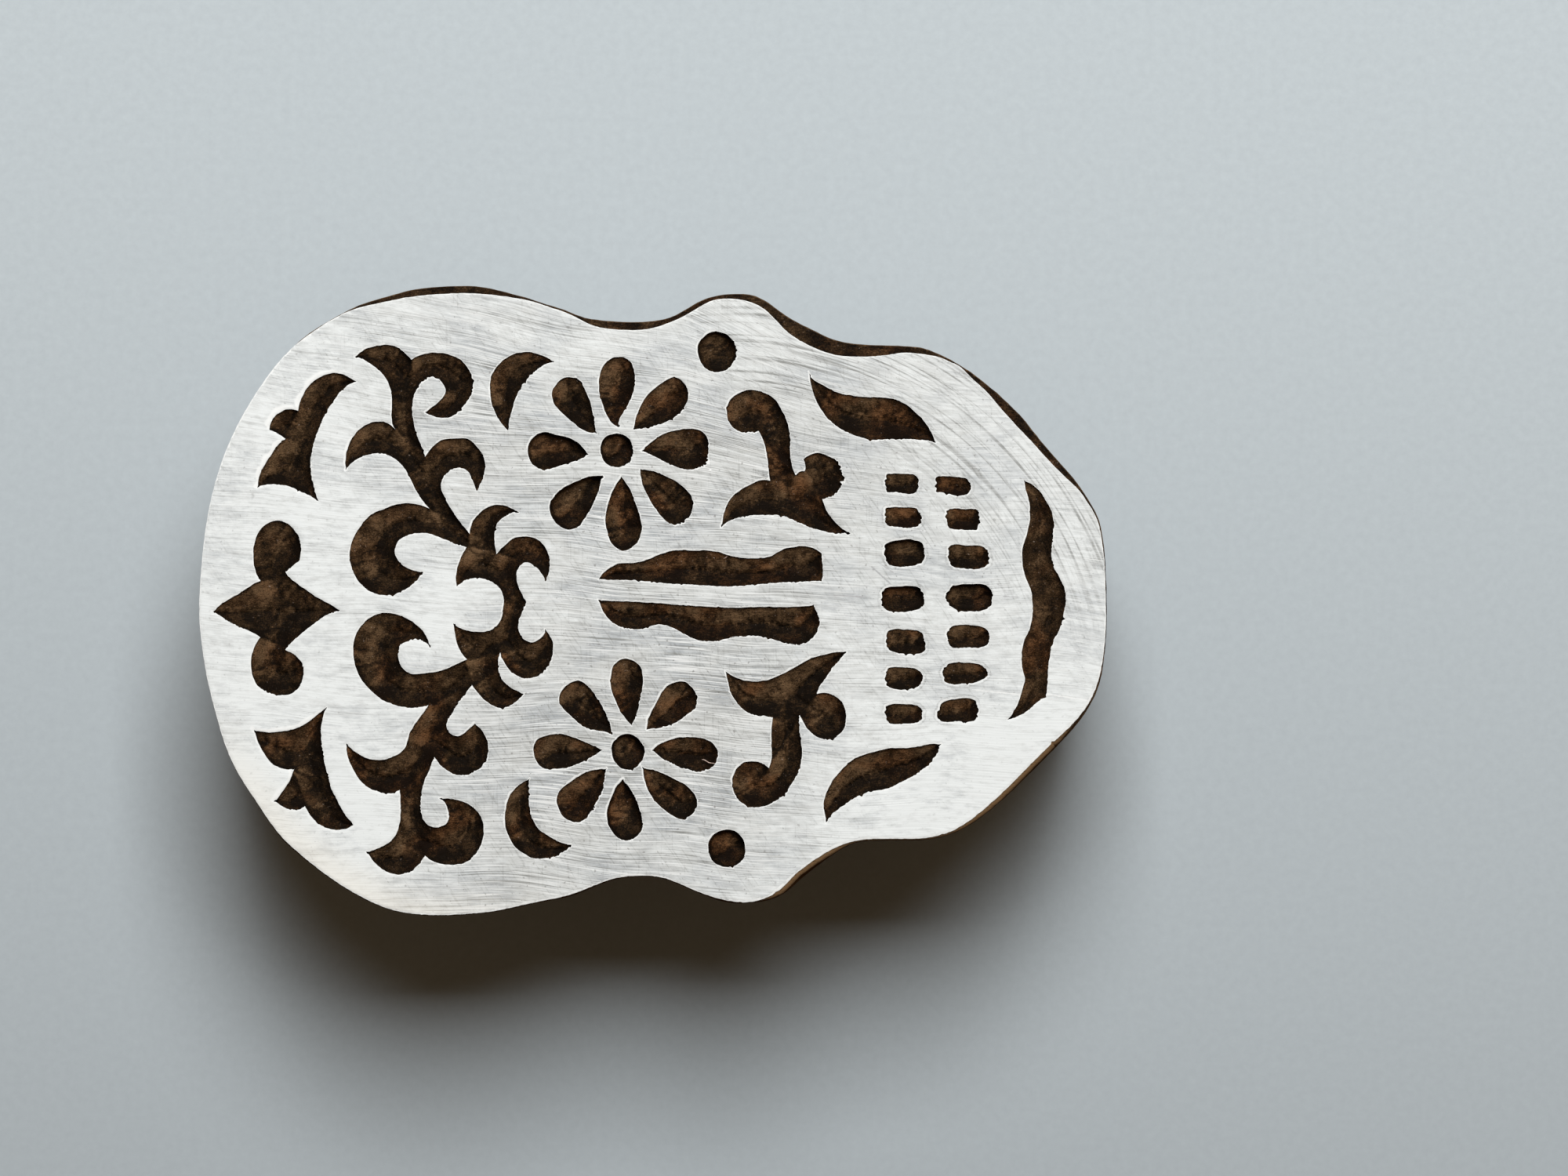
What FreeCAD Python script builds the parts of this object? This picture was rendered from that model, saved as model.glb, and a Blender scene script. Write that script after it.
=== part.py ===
"""A hand block for printing cloth: a carved face board glued over two plain
boards, with a grip let into its back. Millimetres, +Z up, printing face up,
origin under the middle of the block, on the surface that it rests on.
"""

import FreeCAD, Part
import Sketcher
import math
import os

# Driving sizes, each written once. Every object below is bound to them.
SIZES = {
    # Outer size of the sawn block
    "block_length": 115.0,
    "block_width": 79.8,
    # White ground that the pattern was drawn on
    "coat_thickness": 0.25,
    # Face board, which holds the carving
    "face_board_thickness": 13.0,
    "relief_height": 3.6,
    # Carved cuts: straight down at the edge, then a slope to a flat floor
    "cut_edge_depth": 0.75,
    "cut_depth": 2.1,
    "cut_slope_reach": 1.1,
    # Middle board, laid with its grain across
    "cross_board_thickness": 7.0,
    # Back board, which holds the grip
    "back_board_thickness": 8.0,
    "back_rim_round": 1.2,
    # Blind dowels that keep the three boards in register
    "peg_diameter": 6.0,
    "peg_length": 16.0,
    "peg_chamfer": 0.6,
    "peg_clearance": 0.1,
    "peg_spacing_x": 68.0,
    "peg_spacing_y": 40.0,
    # Grip: a waisted bar, let into a shallow housing
    "handle_length": 84.0,
    "handle_width": 30.0,
    "handle_height": 22.0,
    "handle_corner": 9.0,
    "handle_round": 2.5,
    "foot_height": 4.2,
    "cove_height": 14.6,
    "cove_depth": 3.4,
    "housing_depth": 2.5,
    "housing_clearance": 0.15,
    # Two round-head wood screws through the grip
    "screw_spacing": 50.0,
    "screw_length": 26.0,
    "screw_diameter": 4.2,
    "screw_tip": 6.0,
    "screw_head_diameter": 8.2,
    "screw_head_height": 2.9,
    "slot_width": 1.1,
    "slot_depth": 1.3,
    "screw_clearance": 0.15,
    "pilot_spare": 1.0,
    "counterbore_diameter": 10.0,
    "counterbore_depth": 9.0,
    # How far a cut runs past the face that it opens
    "overrun": 1.0,
}

# Where the sawn block lies in the photograph, in its pixels
PHOTO_MIDDLE_X = 833.0
PHOTO_MIDDLE_Y = 766.5
PHOTO_LENGTH = 1162.0
PHOTO_WIDTH = 806.0

# The slope of a cut goes in by at most these shares of the cut's width there and
# of the way to the nearest sharp corner, and a round cut's floor keeps this share
SLOPE_WIDTH_SHARE = 0.3
SLOPE_CORNER_SHARE = 0.28
ROUND_FLOOR_SHARE = 0.6

# Outlines read from the photograph in its pixels. A closed smooth outline is
# one list of points. A carved shape is a list of strokes that run from one
# sharp corner to the next, and the last stroke ends where the first begins.
BODY_PX = [
    (252, 767), (256, 707), (265, 645), (281, 587), (305, 533), (332, 489), (368, 444), (403, 416),
    (429, 401), (448, 391), (472, 382), (501, 374), (529, 367), (557, 364), (600, 363), (624, 366),
    (647, 372), (671, 378), (694, 386), (720, 394), (740, 402), (765, 407), (800, 409), (830, 408),
    (857, 402), (884, 387), (911, 376), (937, 373), (960, 375), (982, 386), (1004, 402), (1036, 419),
    (1062, 431), (1089, 437), (1130, 439), (1158, 440), (1180, 443), (1196, 449), (1213, 457),
    (1228, 466), (1242, 475), (1257, 487), (1272, 499), (1288, 514), (1307, 533), (1320, 550),
    (1334, 567), (1347, 582), (1361, 598), (1377, 617), (1384, 627), (1391, 638), (1398, 650),
    (1404, 664), (1408, 681), (1411, 704), (1413, 744), (1414, 789), (1411, 835), (1404, 874),
    (1389, 906), (1367, 935),
    (1342, 961), (1315, 988), (1283, 1019), (1250, 1046), (1221, 1063), (1189, 1072), (1152, 1074),
    (1120, 1074), (1091, 1077), (1067, 1089), (1043, 1106), (1021, 1124), (1001, 1141), (981, 1150),
    (952, 1154), (927, 1153), (896, 1143), (870, 1132), (842, 1122), (814, 1120), (779, 1125),
    (753, 1135), (727, 1145), (683, 1154), (638, 1164), (593, 1169), (530, 1169), (494, 1162),
    (457, 1146), (421, 1124), (385, 1097), (354, 1068), (328, 1031), (305, 996), (287, 960),
    (272, 911), (261, 866), (254, 821),
]

FACE_PX = [
    (254, 767), (258, 708), (267, 646), (283, 588), (307, 534), (334, 490), (370, 446), (405, 419),
    (450, 395), (491, 385), (515, 380), (548, 376), (595, 374), (628, 376), (657, 380), (677, 384),
    (699, 391), (725, 400), (739, 407), (753, 414), (772, 419), (800, 421), (825, 420), (850, 413),
    (869, 405), (888, 394), (910, 383), (929, 381), (956, 385), (976, 395), (993, 412), (1009, 427),
    (1031, 440), (1062, 452), (1098, 455), (1130, 453), (1152, 450), (1179, 452), (1196, 455),
    (1211, 461), (1225, 468), (1238, 481), (1254, 495), (1270, 513), (1291, 537), (1316, 563),
    (1344, 594), (1365, 614), (1378, 627), (1387, 640), (1395, 653), (1401, 667), (1405, 685),
    (1408, 706), (1410, 744), (1411, 789), (1408, 833), (1400, 872), (1385, 903), (1362, 930),
    (1336, 954), (1309, 981), (1278, 1012), (1246, 1040), (1219, 1058),
    (1188, 1068), (1152, 1070), (1120, 1070), (1089, 1073), (1062, 1083), (1036, 1099), (1013, 1117),
    (995, 1135), (978, 1145), (951, 1151), (929, 1149), (897, 1140), (871, 1129), (843, 1119),
    (814, 1117), (778, 1122), (752, 1132), (725, 1142), (682, 1151), (637, 1161), (593, 1166),
    (530, 1166), (495, 1159), (459, 1143), (423, 1121), (388, 1094), (357, 1065), (331, 1029),
    (308, 994), (290, 958), (275, 910), (264, 865), (257, 820),
]

CROWN_PX = [
    [(332, 741), (318, 748), (300, 760), (286, 768), (273, 780)],
    [(273, 780), (286, 789), (300, 797), (316, 804), (332, 813)],
    [(332, 813), (325, 824), (321, 836), (320, 849), (322, 861), (330, 876), (345, 884), (361, 887),
     (376, 882), (385, 869), (387, 858), (385, 845)],
    [(385, 845), (379, 838), (372, 833), (364, 829)],
    [(364, 829), (374, 817), (387, 806), (402, 794), (420, 783), (432, 778)],
    [(432, 778), (418, 769), (401, 760), (384, 748), (372, 739), (364, 729)],
    [(364, 729), (372, 723), (381, 716)],
    [(381, 716), (384, 703), (383, 691), (379, 681), (371, 671), (355, 664), (343, 667), (333, 675),
     (325, 690), (323, 703), (323, 715), (326, 729), (332, 741)],
]

CORNER_LEAF_UPPER_PX = [
    [(454, 487), (442, 480), (430, 476), (418, 477), (405, 483), (395, 491), (388, 501), (383, 512),
     (380, 524)],
    [(380, 524), (368, 522), (357, 526), (349, 533), (344, 548)],
    [(344, 548), (352, 552), (364, 560)],
    [(364, 560), (355, 567), (347, 578), (338, 592), (332, 604), (329, 621)],
    [(329, 621), (343, 618), (361, 619), (379, 625), (392, 631), (405, 638)],
    [(405, 638), (399, 617), (396, 595), (399, 571), (404, 554), (411, 536), (421, 518), (433, 501),
     (454, 487)],
]

CORNER_LEAF_LOWER_PX = [
    [(417, 902), (403, 913), (391, 922), (377, 929), (360, 933), (344, 934), (325, 932)],
    [(325, 932), (329, 946), (338, 963), (348, 975), (359, 980), (375, 981)],
    [(375, 981), (369, 996), (361, 1009), (351, 1022)],
    [(351, 1022), (363, 1030), (376, 1033), (389, 1028)],
    [(389, 1028), (398, 1043), (410, 1053), (424, 1058), (438, 1058), (451, 1052)],
    [(451, 1052), (437, 1034), (425, 1011), (416, 983), (411, 955), (410, 925), (417, 902)],
]

VINE_PX = [
    [(454, 455), (467, 445), (482, 441), (497, 440), (511, 446), (525, 459)],
    [(525, 459), (543, 451), (559, 450), (575, 453), (590, 461), (600, 475), (603, 490), (600, 505),
     (590, 519), (576, 531), (560, 533), (543, 526)],
    [(543, 526), (553, 518), (564, 508), (568, 499), (564, 489), (557, 482), (545, 482), (535, 491),
     (528, 505), (526, 523), (530, 549), (537, 567), (542, 583)],
    [(542, 583), (552, 570), (565, 561), (581, 559), (597, 560), (609, 571), (617, 583), (619, 596),
     (615, 612), (608, 626)],
    [(608, 626), (603, 613), (596, 601), (583, 597), (571, 602), (563, 614), (566, 632), (576, 650),
     (588, 667), (599, 681)],
    [(599, 681), (604, 664), (613, 653), (624, 646), (638, 644), (659, 653)],
    [(659, 653), (642, 660), (633, 671), (631, 686), (633, 707)],
    [(633, 707), (643, 696), (655, 687), (670, 684), (684, 687), (695, 697), (701, 712), (701, 727),
     (696, 741)],
    [(696, 741), (689, 729), (679, 720), (669, 718), (661, 725), (659, 735), (661, 747), (671, 768)],
    [(671, 768), (665, 783), (661, 799), (666, 813), (678, 819), (690, 814), (696, 804)],
    [(696, 804), (704, 817), (705, 832), (700, 848), (688, 861), (670, 865), (655, 859), (645, 848),
     (638, 832)],
    [(638, 832), (635, 848), (640, 866), (652, 877), (668, 885)],
    [(668, 885), (657, 896), (641, 903), (625, 898), (612, 887), (602, 874)],
    [(602, 874), (589, 891), (575, 912), (569, 926), (575, 936), (584, 939), (595, 933), (606, 923)],
    [(606, 923), (617, 935), (623, 951), (619, 971), (605, 984), (588, 989), (572, 984), (562, 976),
     (554, 965)],
    [(554, 965), (547, 983), (540, 1001), (537, 1020), (538, 1040), (546, 1052), (559, 1055),
     (571, 1048), (572, 1035), (562, 1019)],
    [(562, 1019), (583, 1020), (601, 1028), (613, 1041), (617, 1057), (615, 1074), (606, 1090),
     (591, 1101), (572, 1103), (556, 1100), (542, 1091)],
    [(542, 1091), (531, 1106), (519, 1114), (504, 1115), (487, 1108), (469, 1087)],
    [(469, 1087), (485, 1081), (501, 1070), (509, 1053), (511, 1031), (510, 1007)],
    [(510, 1007), (497, 1012), (482, 1010), (466, 1002), (454, 988), (445, 970), (442, 950)],
    [(442, 950), (456, 961), (470, 968), (487, 969), (504, 964), (517, 953), (521, 939), (529, 924),
     (547, 899)],
    [(547, 899), (528, 903), (506, 900), (485, 891), (468, 876), (456, 858), (451, 839), (451, 820),
     (458, 802), (470, 789), (488, 782), (508, 784), (530, 796), (541, 807), (548, 825)],
    [(548, 825), (536, 816), (521, 817), (511, 823), (508, 836), (512, 850), (523, 859), (541, 859),
     (560, 856), (578, 849), (596, 841)],
    [(596, 841), (587, 830), (581, 814), (579, 797)],
    [(579, 797), (594, 804), (611, 806), (627, 803), (638, 792), (642, 775), (641, 758), (634, 747),
     (618, 739), (600, 738), (583, 748)],
    [(583, 748), (582, 730), (587, 713), (595, 698)],
    [(595, 698), (577, 692), (557, 684), (541, 680), (523, 682), (509, 689), (504, 701), (507, 714),
     (519, 724), (539, 730)],
    [(539, 730), (529, 743), (515, 753), (496, 759), (478, 757), (462, 747), (451, 731), (446, 711),
     (449, 691), (459, 672), (474, 656), (493, 648), (513, 642), (530, 643), (548, 649)],
    [(548, 649), (535, 633), (526, 617), (519, 602), (506, 587), (490, 579), (474, 579), (457, 585),
     (441, 599)],
    [(441, 599), (441, 582), (446, 564), (456, 550), (471, 540), (489, 538), (504, 548)],
    [(504, 548), (499, 530), (500, 512), (498, 496), (491, 481), (477, 467), (454, 455)],
]

CRESCENT_UPPER_PX = [
    [(648, 549), (640, 541), (632, 528), (627, 514), (625, 500), (625, 487), (630, 473), (640, 461),
     (655, 452), (672, 449), (688, 452), (706, 462)],
    [(706, 462), (695, 465), (683, 473), (672, 483), (664, 495), (658, 508), (653, 522), (648, 549)],
]

CRESCENT_LOWER_PX = [
    [(675, 994), (663, 1000), (654, 1009), (648, 1020), (645, 1033), (644, 1046), (646, 1059),
     (651, 1071), (658, 1081), (667, 1088), (678, 1094), (690, 1095), (702, 1094), (713, 1090),
     (727, 1078)],
    [(727, 1078), (712, 1073), (699, 1066), (689, 1059), (682, 1050), (677, 1040), (675, 1029),
     (674, 1014), (675, 994)],
]

CHEEK_UPPER_PX = [
    [(921, 671), (922, 660), (925, 649), (932, 636), (943, 626), (957, 618), (969, 613), (982, 613)],
    [(982, 613), (980, 597), (978, 579), (974, 564), (968, 550)],
    [(968, 550), (958, 551), (948, 552), (937, 547), (930, 539), (927, 526), (930, 512), (938, 504),
     (948, 499), (957, 497), (969, 499), (981, 504), (990, 511), (996, 521), (1002, 532), (1006, 546),
     (1008, 562), (1008, 580), (1010, 594), (1015, 606)],
    [(1015, 606), (1020, 602), (1026, 601)],
    [(1026, 601), (1027, 593), (1025, 586)],
    [(1025, 586), (1034, 580), (1046, 578), (1058, 582), (1067, 587), (1073, 597), (1075, 609),
     (1073, 620), (1067, 629), (1058, 634), (1048, 636)],
    [(1048, 636), (1053, 648), (1060, 660), (1070, 671), (1083, 680)],
    [(1083, 680), (1066, 680), (1047, 677), (1029, 671), (1013, 664), (1002, 659), (985, 657),
     (965, 657), (948, 659), (934, 663), (921, 671)],
]

CHEEK_LOWER_PX = [
    [(926, 857), (938, 864), (951, 868), (965, 869), (980, 867), (993, 862), (1005, 856), (1018, 849),
     (1032, 841), (1048, 836), (1063, 832), (1079, 832)],
    [(1079, 832), (1070, 842), (1061, 853), (1052, 866), (1045, 876), (1042, 885)],
    [(1042, 885), (1053, 884), (1065, 888), (1074, 896), (1079, 908), (1079, 921), (1074, 933),
     (1063, 941), (1051, 942), (1040, 939), (1031, 931), (1025, 922), (1020, 912)],
    [(1020, 912), (1019, 925), (1021, 940), (1023, 955), (1022, 970), (1017, 987), (1008, 1003),
     (996, 1017), (981, 1026), (967, 1030), (953, 1028), (941, 1019), (935, 1007), (934, 994),
     (938, 983), (948, 973), (961, 971), (972, 974), (981, 980)],
    [(981, 980), (984, 965), (984, 948), (984, 930), (986, 915)],
    [(986, 915), (971, 913), (956, 910), (944, 901), (934, 887), (929, 873), (926, 857)],
]

NOSE_UPPER_PX = [
    [(764, 739), (768, 732), (777, 725), (788, 719), (801, 718), (815, 717), (830, 712), (845, 706),
     (860, 702), (880, 702), (900, 702), (916, 704), (932, 709), (950, 712), (970, 712), (984, 709),
     (996, 702), (1010, 698), (1028, 697), (1048, 706)],
    [(1048, 706), (1049, 718), (1050, 730), (1048, 741)],
    [(1048, 741), (1015, 742), (980, 744), (950, 747), (912, 748), (885, 746), (860, 745), (830, 742),
     (795, 740), (764, 739)],
]

NOSE_LOWER_PX = [
    [(764, 766), (800, 767), (835, 769), (870, 772), (905, 774), (940, 775), (975, 774), (1010, 774),
     (1038, 772)],
    [(1038, 772), (1043, 784), (1045, 796), (1040, 809), (1029, 819), (1014, 822), (997, 819),
     (980, 814), (965, 811), (950, 811), (934, 813), (918, 817), (902, 818), (885, 815), (870, 807),
     (857, 800), (845, 797), (832, 798), (818, 802), (803, 802), (790, 799), (776, 789), (769, 779),
     (764, 766)],
]

SIDE_LEAF_UPPER_PX = [
    [(1032, 476), (1036, 483), (1045, 489), (1058, 496), (1073, 502), (1090, 505), (1106, 507),
     (1124, 507), (1140, 509), (1154, 515), (1167, 525), (1178, 536), (1187, 549), (1193, 564)],
    [(1193, 564), (1175, 561), (1150, 560), (1128, 561), (1111, 561), (1094, 557), (1078, 550),
     (1063, 541), (1051, 528), (1043, 515), (1037, 500), (1034, 488),
     (1032, 476)],
]

SIDE_LEAF_LOWER_PX = [
    [(1054, 1047), (1051, 1034), (1051, 1021), (1056, 1007), (1064, 993), (1075, 980), (1088, 969),
     (1104, 962), (1121, 957), (1137, 954), (1155, 954), (1172, 952), (1187, 949), (1199, 950)],
    [(1199, 950), (1194, 962), (1186, 973), (1173, 984), (1159, 993), (1143, 1001), (1127, 1007),
     (1110, 1010), (1097, 1014), (1085, 1021), (1070, 1031), (1054, 1047)],
]

CHIN_WAVE_PX = [
    [(1306, 613), (1318, 619), (1329, 630), (1337, 643), (1343, 658), (1344, 674), (1342, 692),
     (1341, 709), (1345, 725), (1353, 739), (1359, 755), (1359, 773), (1355, 790), (1351, 804),
     (1344, 816), (1340, 832), (1337, 851), (1336, 869), (1334, 889)],
    [(1334, 889), (1322, 897), (1308, 908), (1298, 914), (1285, 918)],
    [(1285, 918), (1294, 906), (1301, 890), (1308, 867)],
    [(1308, 867), (1304, 852), (1303, 836), (1307, 816), (1313, 803), (1317, 785), (1317, 768),
     (1314, 750), (1307, 733), (1304, 716), (1304, 700), (1308, 687), (1312, 672), (1314, 657),
     (1313, 641), (1310, 630), (1306, 613)],
]

# Petals of the two flowers, clockwise from the top one
FLOWER_UPPER_PX = [
    [[(788, 544), (780, 539), (771, 523), (765, 503), (764, 487), (767, 471), (777, 459), (791, 455),
      (803, 460), (809, 472), (810, 487), (807, 503), (799, 519), (792, 531), (788, 544)]],
    [[(808, 547), (811, 534), (818, 516), (828, 502), (841, 491), (852, 484), (860, 481), (870, 486),
      (877, 496), (878, 505), (874, 518), (864, 529), (850, 538), (833, 544), (808, 547)]],
    [[(820, 575), (829, 565), (840, 557), (853, 551), (867, 548), (884, 547), (895, 550), (902, 559),
      (904, 571), (903, 583), (900, 592), (891, 597), (879, 599), (864, 596), (848, 589), (832, 581),
      (820, 575)]],
    [[(817, 599), (833, 601), (848, 607), (862, 614), (874, 623), (882, 634), (884, 646), (879, 659),
      (870, 666), (860, 669), (849, 664), (839, 653), (829, 638), (821, 622), (817, 599)]],
    [[(793, 608), (800, 618), (808, 634), (814, 651), (818, 666), (818, 680), (812, 693), (804, 700),
      (796, 703), (786, 699), (778, 689), (774, 676), (772, 664), (774, 649), (778, 635), (785, 619),
      (793, 608)]],
    [[(768, 607), (758, 607), (745, 610), (730, 616), (717, 623), (708, 632), (702, 641), (701, 651),
      (705, 662), (712, 670), (722, 675), (731, 675), (740, 669), (749, 657), (756, 644), (762, 630),
      (768, 607)]],
    [[(750, 580), (743, 570), (731, 561), (717, 556), (703, 553), (694, 551), (684, 555), (677, 562),
      (673, 572), (674, 582), (679, 592), (686, 597), (695, 599), (707, 597), (722, 592), (737, 587),
      (750, 580)]],
    [[(760, 552), (750, 551), (738, 545), (725, 534), (711, 521), (705, 511), (704, 501), (708, 492),
      (716, 484), (727, 481), (737, 484), (744, 492), (750, 505), (755, 521), (760, 552)]],
]

FLOWER_LOWER_PX = [
    [[(806, 925), (798, 917), (790, 905), (784, 891), (779, 876), (779, 862), (782, 850), (790, 842),
      (800, 840), (811, 845), (818, 853), (820, 864), (819, 878), (816, 895), (812, 911), (806, 925)]],
    [[(825, 930), (828, 914), (836, 898), (845, 882), (852, 874), (862, 870), (871, 869), (880, 874),
      (887, 883), (889, 893), (885, 904), (875, 913), (861, 922), (843, 928), (825, 930)]],
    [[(833, 957), (838, 951), (850, 945), (864, 941), (879, 940), (894, 941), (905, 945), (913, 953),
      (916, 962), (912, 973), (903, 981), (890, 984), (875, 981), (858, 974), (843, 966), (833, 957)]],
    [[(820, 979), (832, 982), (847, 987), (861, 994), (874, 1001), (883, 1009), (889, 1020),
      (888, 1031), (880, 1041), (869, 1045), (859, 1041), (846, 1032), (834, 1020), (825, 1004),
      (820, 979)]],
    [[(795, 995), (801, 1002), (808, 1012), (814, 1026), (818, 1040), (820, 1053), (815, 1064),
      (807, 1070), (799, 1072), (789, 1069), (780, 1060), (775, 1049), (774, 1039), (776, 1027),
      (781, 1014), (787, 1002), (795, 995)]],
    [[(773, 981), (757, 982), (743, 987), (731, 995), (718, 1004), (712, 1012), (710, 1022),
      (713, 1033), (720, 1043), (730, 1048), (741, 1048), (750, 1041), (757, 1029), (765, 1015),
      (770, 999), (773, 981)]],
    [[(768, 957), (752, 949), (738, 943), (725, 938), (710, 936), (696, 938), (687, 942), (681, 951),
      (681, 962), (685, 972), (692, 979), (702, 981), (719, 980), (736, 975), (751, 967), (768, 957)]],
    [[(780, 936), (766, 932), (750, 929), (738, 922), (726, 911), (716, 901), (713, 890), (717, 880),
      (726, 872), (738, 868), (748, 873), (758, 885), (767, 899), (775, 915), (780, 936)]],
]

# Round cuts: the two dots beside the cheeks and the two flower centres
ROUND_CUTS_PX = [
    [(890, 449), (896, 431), (914, 423), (932, 431), (939, 449), (932, 467), (914, 475), (897, 467)],
    [(903, 1082), (911, 1064), (927, 1058), (944, 1065), (951, 1082), (945, 1099), (928, 1106),
     (911, 1100)],
    [(766, 574), (771, 559), (786, 553), (801, 558), (807, 573), (803, 588), (786, 596), (771, 589)],
    [(780, 959), (786, 942), (802, 936), (815, 943), (822, 961), (816, 974), (801, 982), (786, 974)],
]

# Tooth cuts, two columns of seven
TOOTH_CUTS_PX = [
    [(1129, 617), (1134, 605), (1149, 604), (1164, 606), (1171, 615), (1168, 626), (1158, 630),
     (1146, 628), (1132, 627)],
    [(1128, 660), (1132, 649), (1150, 647), (1169, 650), (1175, 661), (1169, 671), (1152, 673),
     (1137, 671)],
    [(1128, 706), (1132, 693), (1147, 689), (1163, 688), (1175, 693), (1180, 705), (1172, 718),
     (1151, 723), (1134, 720)],
    [(1124, 764), (1130, 750), (1150, 748), (1168, 748), (1178, 758), (1178, 771), (1165, 779),
     (1146, 781), (1130, 777)],
    [(1130, 817), (1135, 804), (1155, 803), (1173, 806), (1180, 818), (1177, 831), (1157, 834),
     (1138, 831)],
    [(1129, 865), (1135, 852), (1151, 851), (1169, 854), (1177, 866), (1169, 876), (1153, 880),
     (1136, 877)],
    [(1129, 911), (1133, 900), (1151, 898), (1169, 900), (1177, 910), (1171, 921), (1153, 923),
     (1136, 923)],
    [(1194, 622), (1199, 608), (1215, 608), (1231, 611), (1238, 621), (1230, 631), (1213, 631),
     (1200, 628)],
    [(1207, 662), (1212, 650), (1229, 649), (1245, 651), (1250, 662), (1246, 674), (1230, 676),
     (1212, 673)],
    [(1209, 708), (1215, 695), (1234, 696), (1253, 697), (1262, 709), (1256, 723), (1237, 726),
     (1217, 723)],
    [(1208, 758), (1216, 748), (1237, 745), (1258, 747), (1266, 763), (1259, 776), (1240, 780),
     (1219, 777)],
    [(1208, 814), (1215, 799), (1234, 797), (1255, 801), (1263, 813), (1256, 824), (1237, 826),
     (1216, 826)],
    [(1203, 860), (1209, 848), (1230, 845), (1250, 848), (1259, 858), (1249, 869), (1230, 872),
     (1209, 871)],
    [(1196, 912), (1203, 896), (1222, 891), (1240, 892), (1248, 908), (1242, 919), (1222, 920),
     (1204, 921)],
]


def make_sheet(doc):
    """Put every driving size in the spreadsheet, one named cell each."""
    sheet = doc.addObject("Spreadsheet::Sheet", "Sizes")
    for row, (name, value) in enumerate(SIZES.items(), start=1):
        sheet.set(f"A{row}", name)
        sheet.set(f"B{row}", str(value))
        sheet.setAlias(f"B{row}", name)
    doc.recompute()
    return sheet


def bind(obj, **expressions):
    """Bind properties to expressions in the sizes; a double underscore is a dot."""
    for name, expression in expressions.items():
        obj.setExpression(name.replace("__", "."), expression)


def at(expression_x, expression_y, expression_z):
    """The three placement bindings of one object."""
    return {
        "Placement__Base__x": expression_x,
        "Placement__Base__y": expression_y,
        "Placement__Base__z": expression_z,
    }


def photo_point(sheet, pixel):
    """The place on the block of one pixel of the photograph."""
    across, down = pixel
    x = (across - PHOTO_MIDDLE_X) / PHOTO_LENGTH * sheet.block_length
    y = (PHOTO_MIDDLE_Y - down) / PHOTO_WIDTH * sheet.block_width
    return FreeCAD.Vector(x, y, 0)


def photo_places(sheet, pixels):
    """The places on the block of a row of pixels."""
    return [photo_point(sheet, pixel) for pixel in pixels]


def smooth_edge(places, ring):
    """One smooth edge through the places, closed to a ring or left open."""
    curve = Part.BSplineCurve()
    curve.interpolate(places, PeriodicFlag=ring)
    return curve.toShape()


def outline_wire(strokes, ring):
    """A closed outline: strokes that meet at sharp corners, or one smooth ring."""
    return Part.Wire([smooth_edge(places, ring) for places in strokes])


def block_wire(sheet, pixels):
    """One of the two outlines of the block itself."""
    return outline_wire([photo_places(sheet, pixels)], True)


def cut_outlines(sheet):
    """The strokes of every carved cut, each with whether it is one smooth ring."""
    cornered = [
        CROWN_PX, CORNER_LEAF_UPPER_PX, CORNER_LEAF_LOWER_PX, VINE_PX,
        CRESCENT_UPPER_PX, CRESCENT_LOWER_PX, CHEEK_UPPER_PX, CHEEK_LOWER_PX,
        NOSE_UPPER_PX, NOSE_LOWER_PX, SIDE_LEAF_UPPER_PX, SIDE_LEAF_LOWER_PX, CHIN_WAVE_PX,
    ]
    cornered += FLOWER_UPPER_PX
    cornered += FLOWER_LOWER_PX
    outlines = [
        ([photo_places(sheet, pixels) for pixels in strokes], False) for strokes in cornered
    ]
    outlines += [
        ([photo_places(sheet, pixels)], True) for pixels in ROUND_CUTS_PX + TOOTH_CUTS_PX
    ]
    return outlines


def sides_of(border):
    """The straight sides between the points of a closed border."""
    return list(zip(border, border[1:] + border[:1]))


def turn_of(border):
    """1 for a border that runs anticlockwise, -1 for one that runs clockwise."""
    return math.copysign(1, sum(start.x * end.y - start.y * end.x for start, end in sides_of(border)))


def width_across(place, inward, border):
    """How wide a cut is from one point of its border, straight into it."""
    across = FreeCAD.Vector(-inward.y, inward.x, 0)
    widths = []
    for start, end in sides_of(border):
        start_side = (start - place).dot(across)
        end_side = (end - place).dot(across)
        if place in (start, end) or (start_side > 0) == (end_side > 0):
            continue
        share = start_side / (start_side - end_side)
        widths.append((start + (end - start) * share - place).dot(inward))
    return min((width for width in widths if width > 0), default=0)


def floor_strokes(sheet, strokes):
    """The outline of a cornered cut's floor: its strokes, moved in where there is room."""
    border = [place for places in strokes for place in places[:-1]]
    turn = turn_of(border)
    floor = []
    for places in strokes:
        curve = smooth_edge(places, False).Curve
        moved = []
        for place in places:
            along = curve.tangent(curve.parameter(place))[0].normalize()
            inward = FreeCAD.Vector(-along.y, along.x, 0) * turn
            to_corner = min(place.distanceToPoint(places[0]), place.distanceToPoint(places[-1]))
            inset = min(
                sheet.cut_slope_reach,
                SLOPE_CORNER_SHARE * to_corner,
                SLOPE_WIDTH_SHARE * width_across(place, inward, border),
            )
            moved.append(place + inward * inset)
        floor.append(moved)
    return floor


def floor_ring(places):
    """The outline of a round cut's floor: its ring, drawn in about its middle."""
    middle = sum(places, FreeCAD.Vector()) / len(places)
    return [middle + (place - middle) * ROUND_FLOOR_SHARE for place in places]


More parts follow.
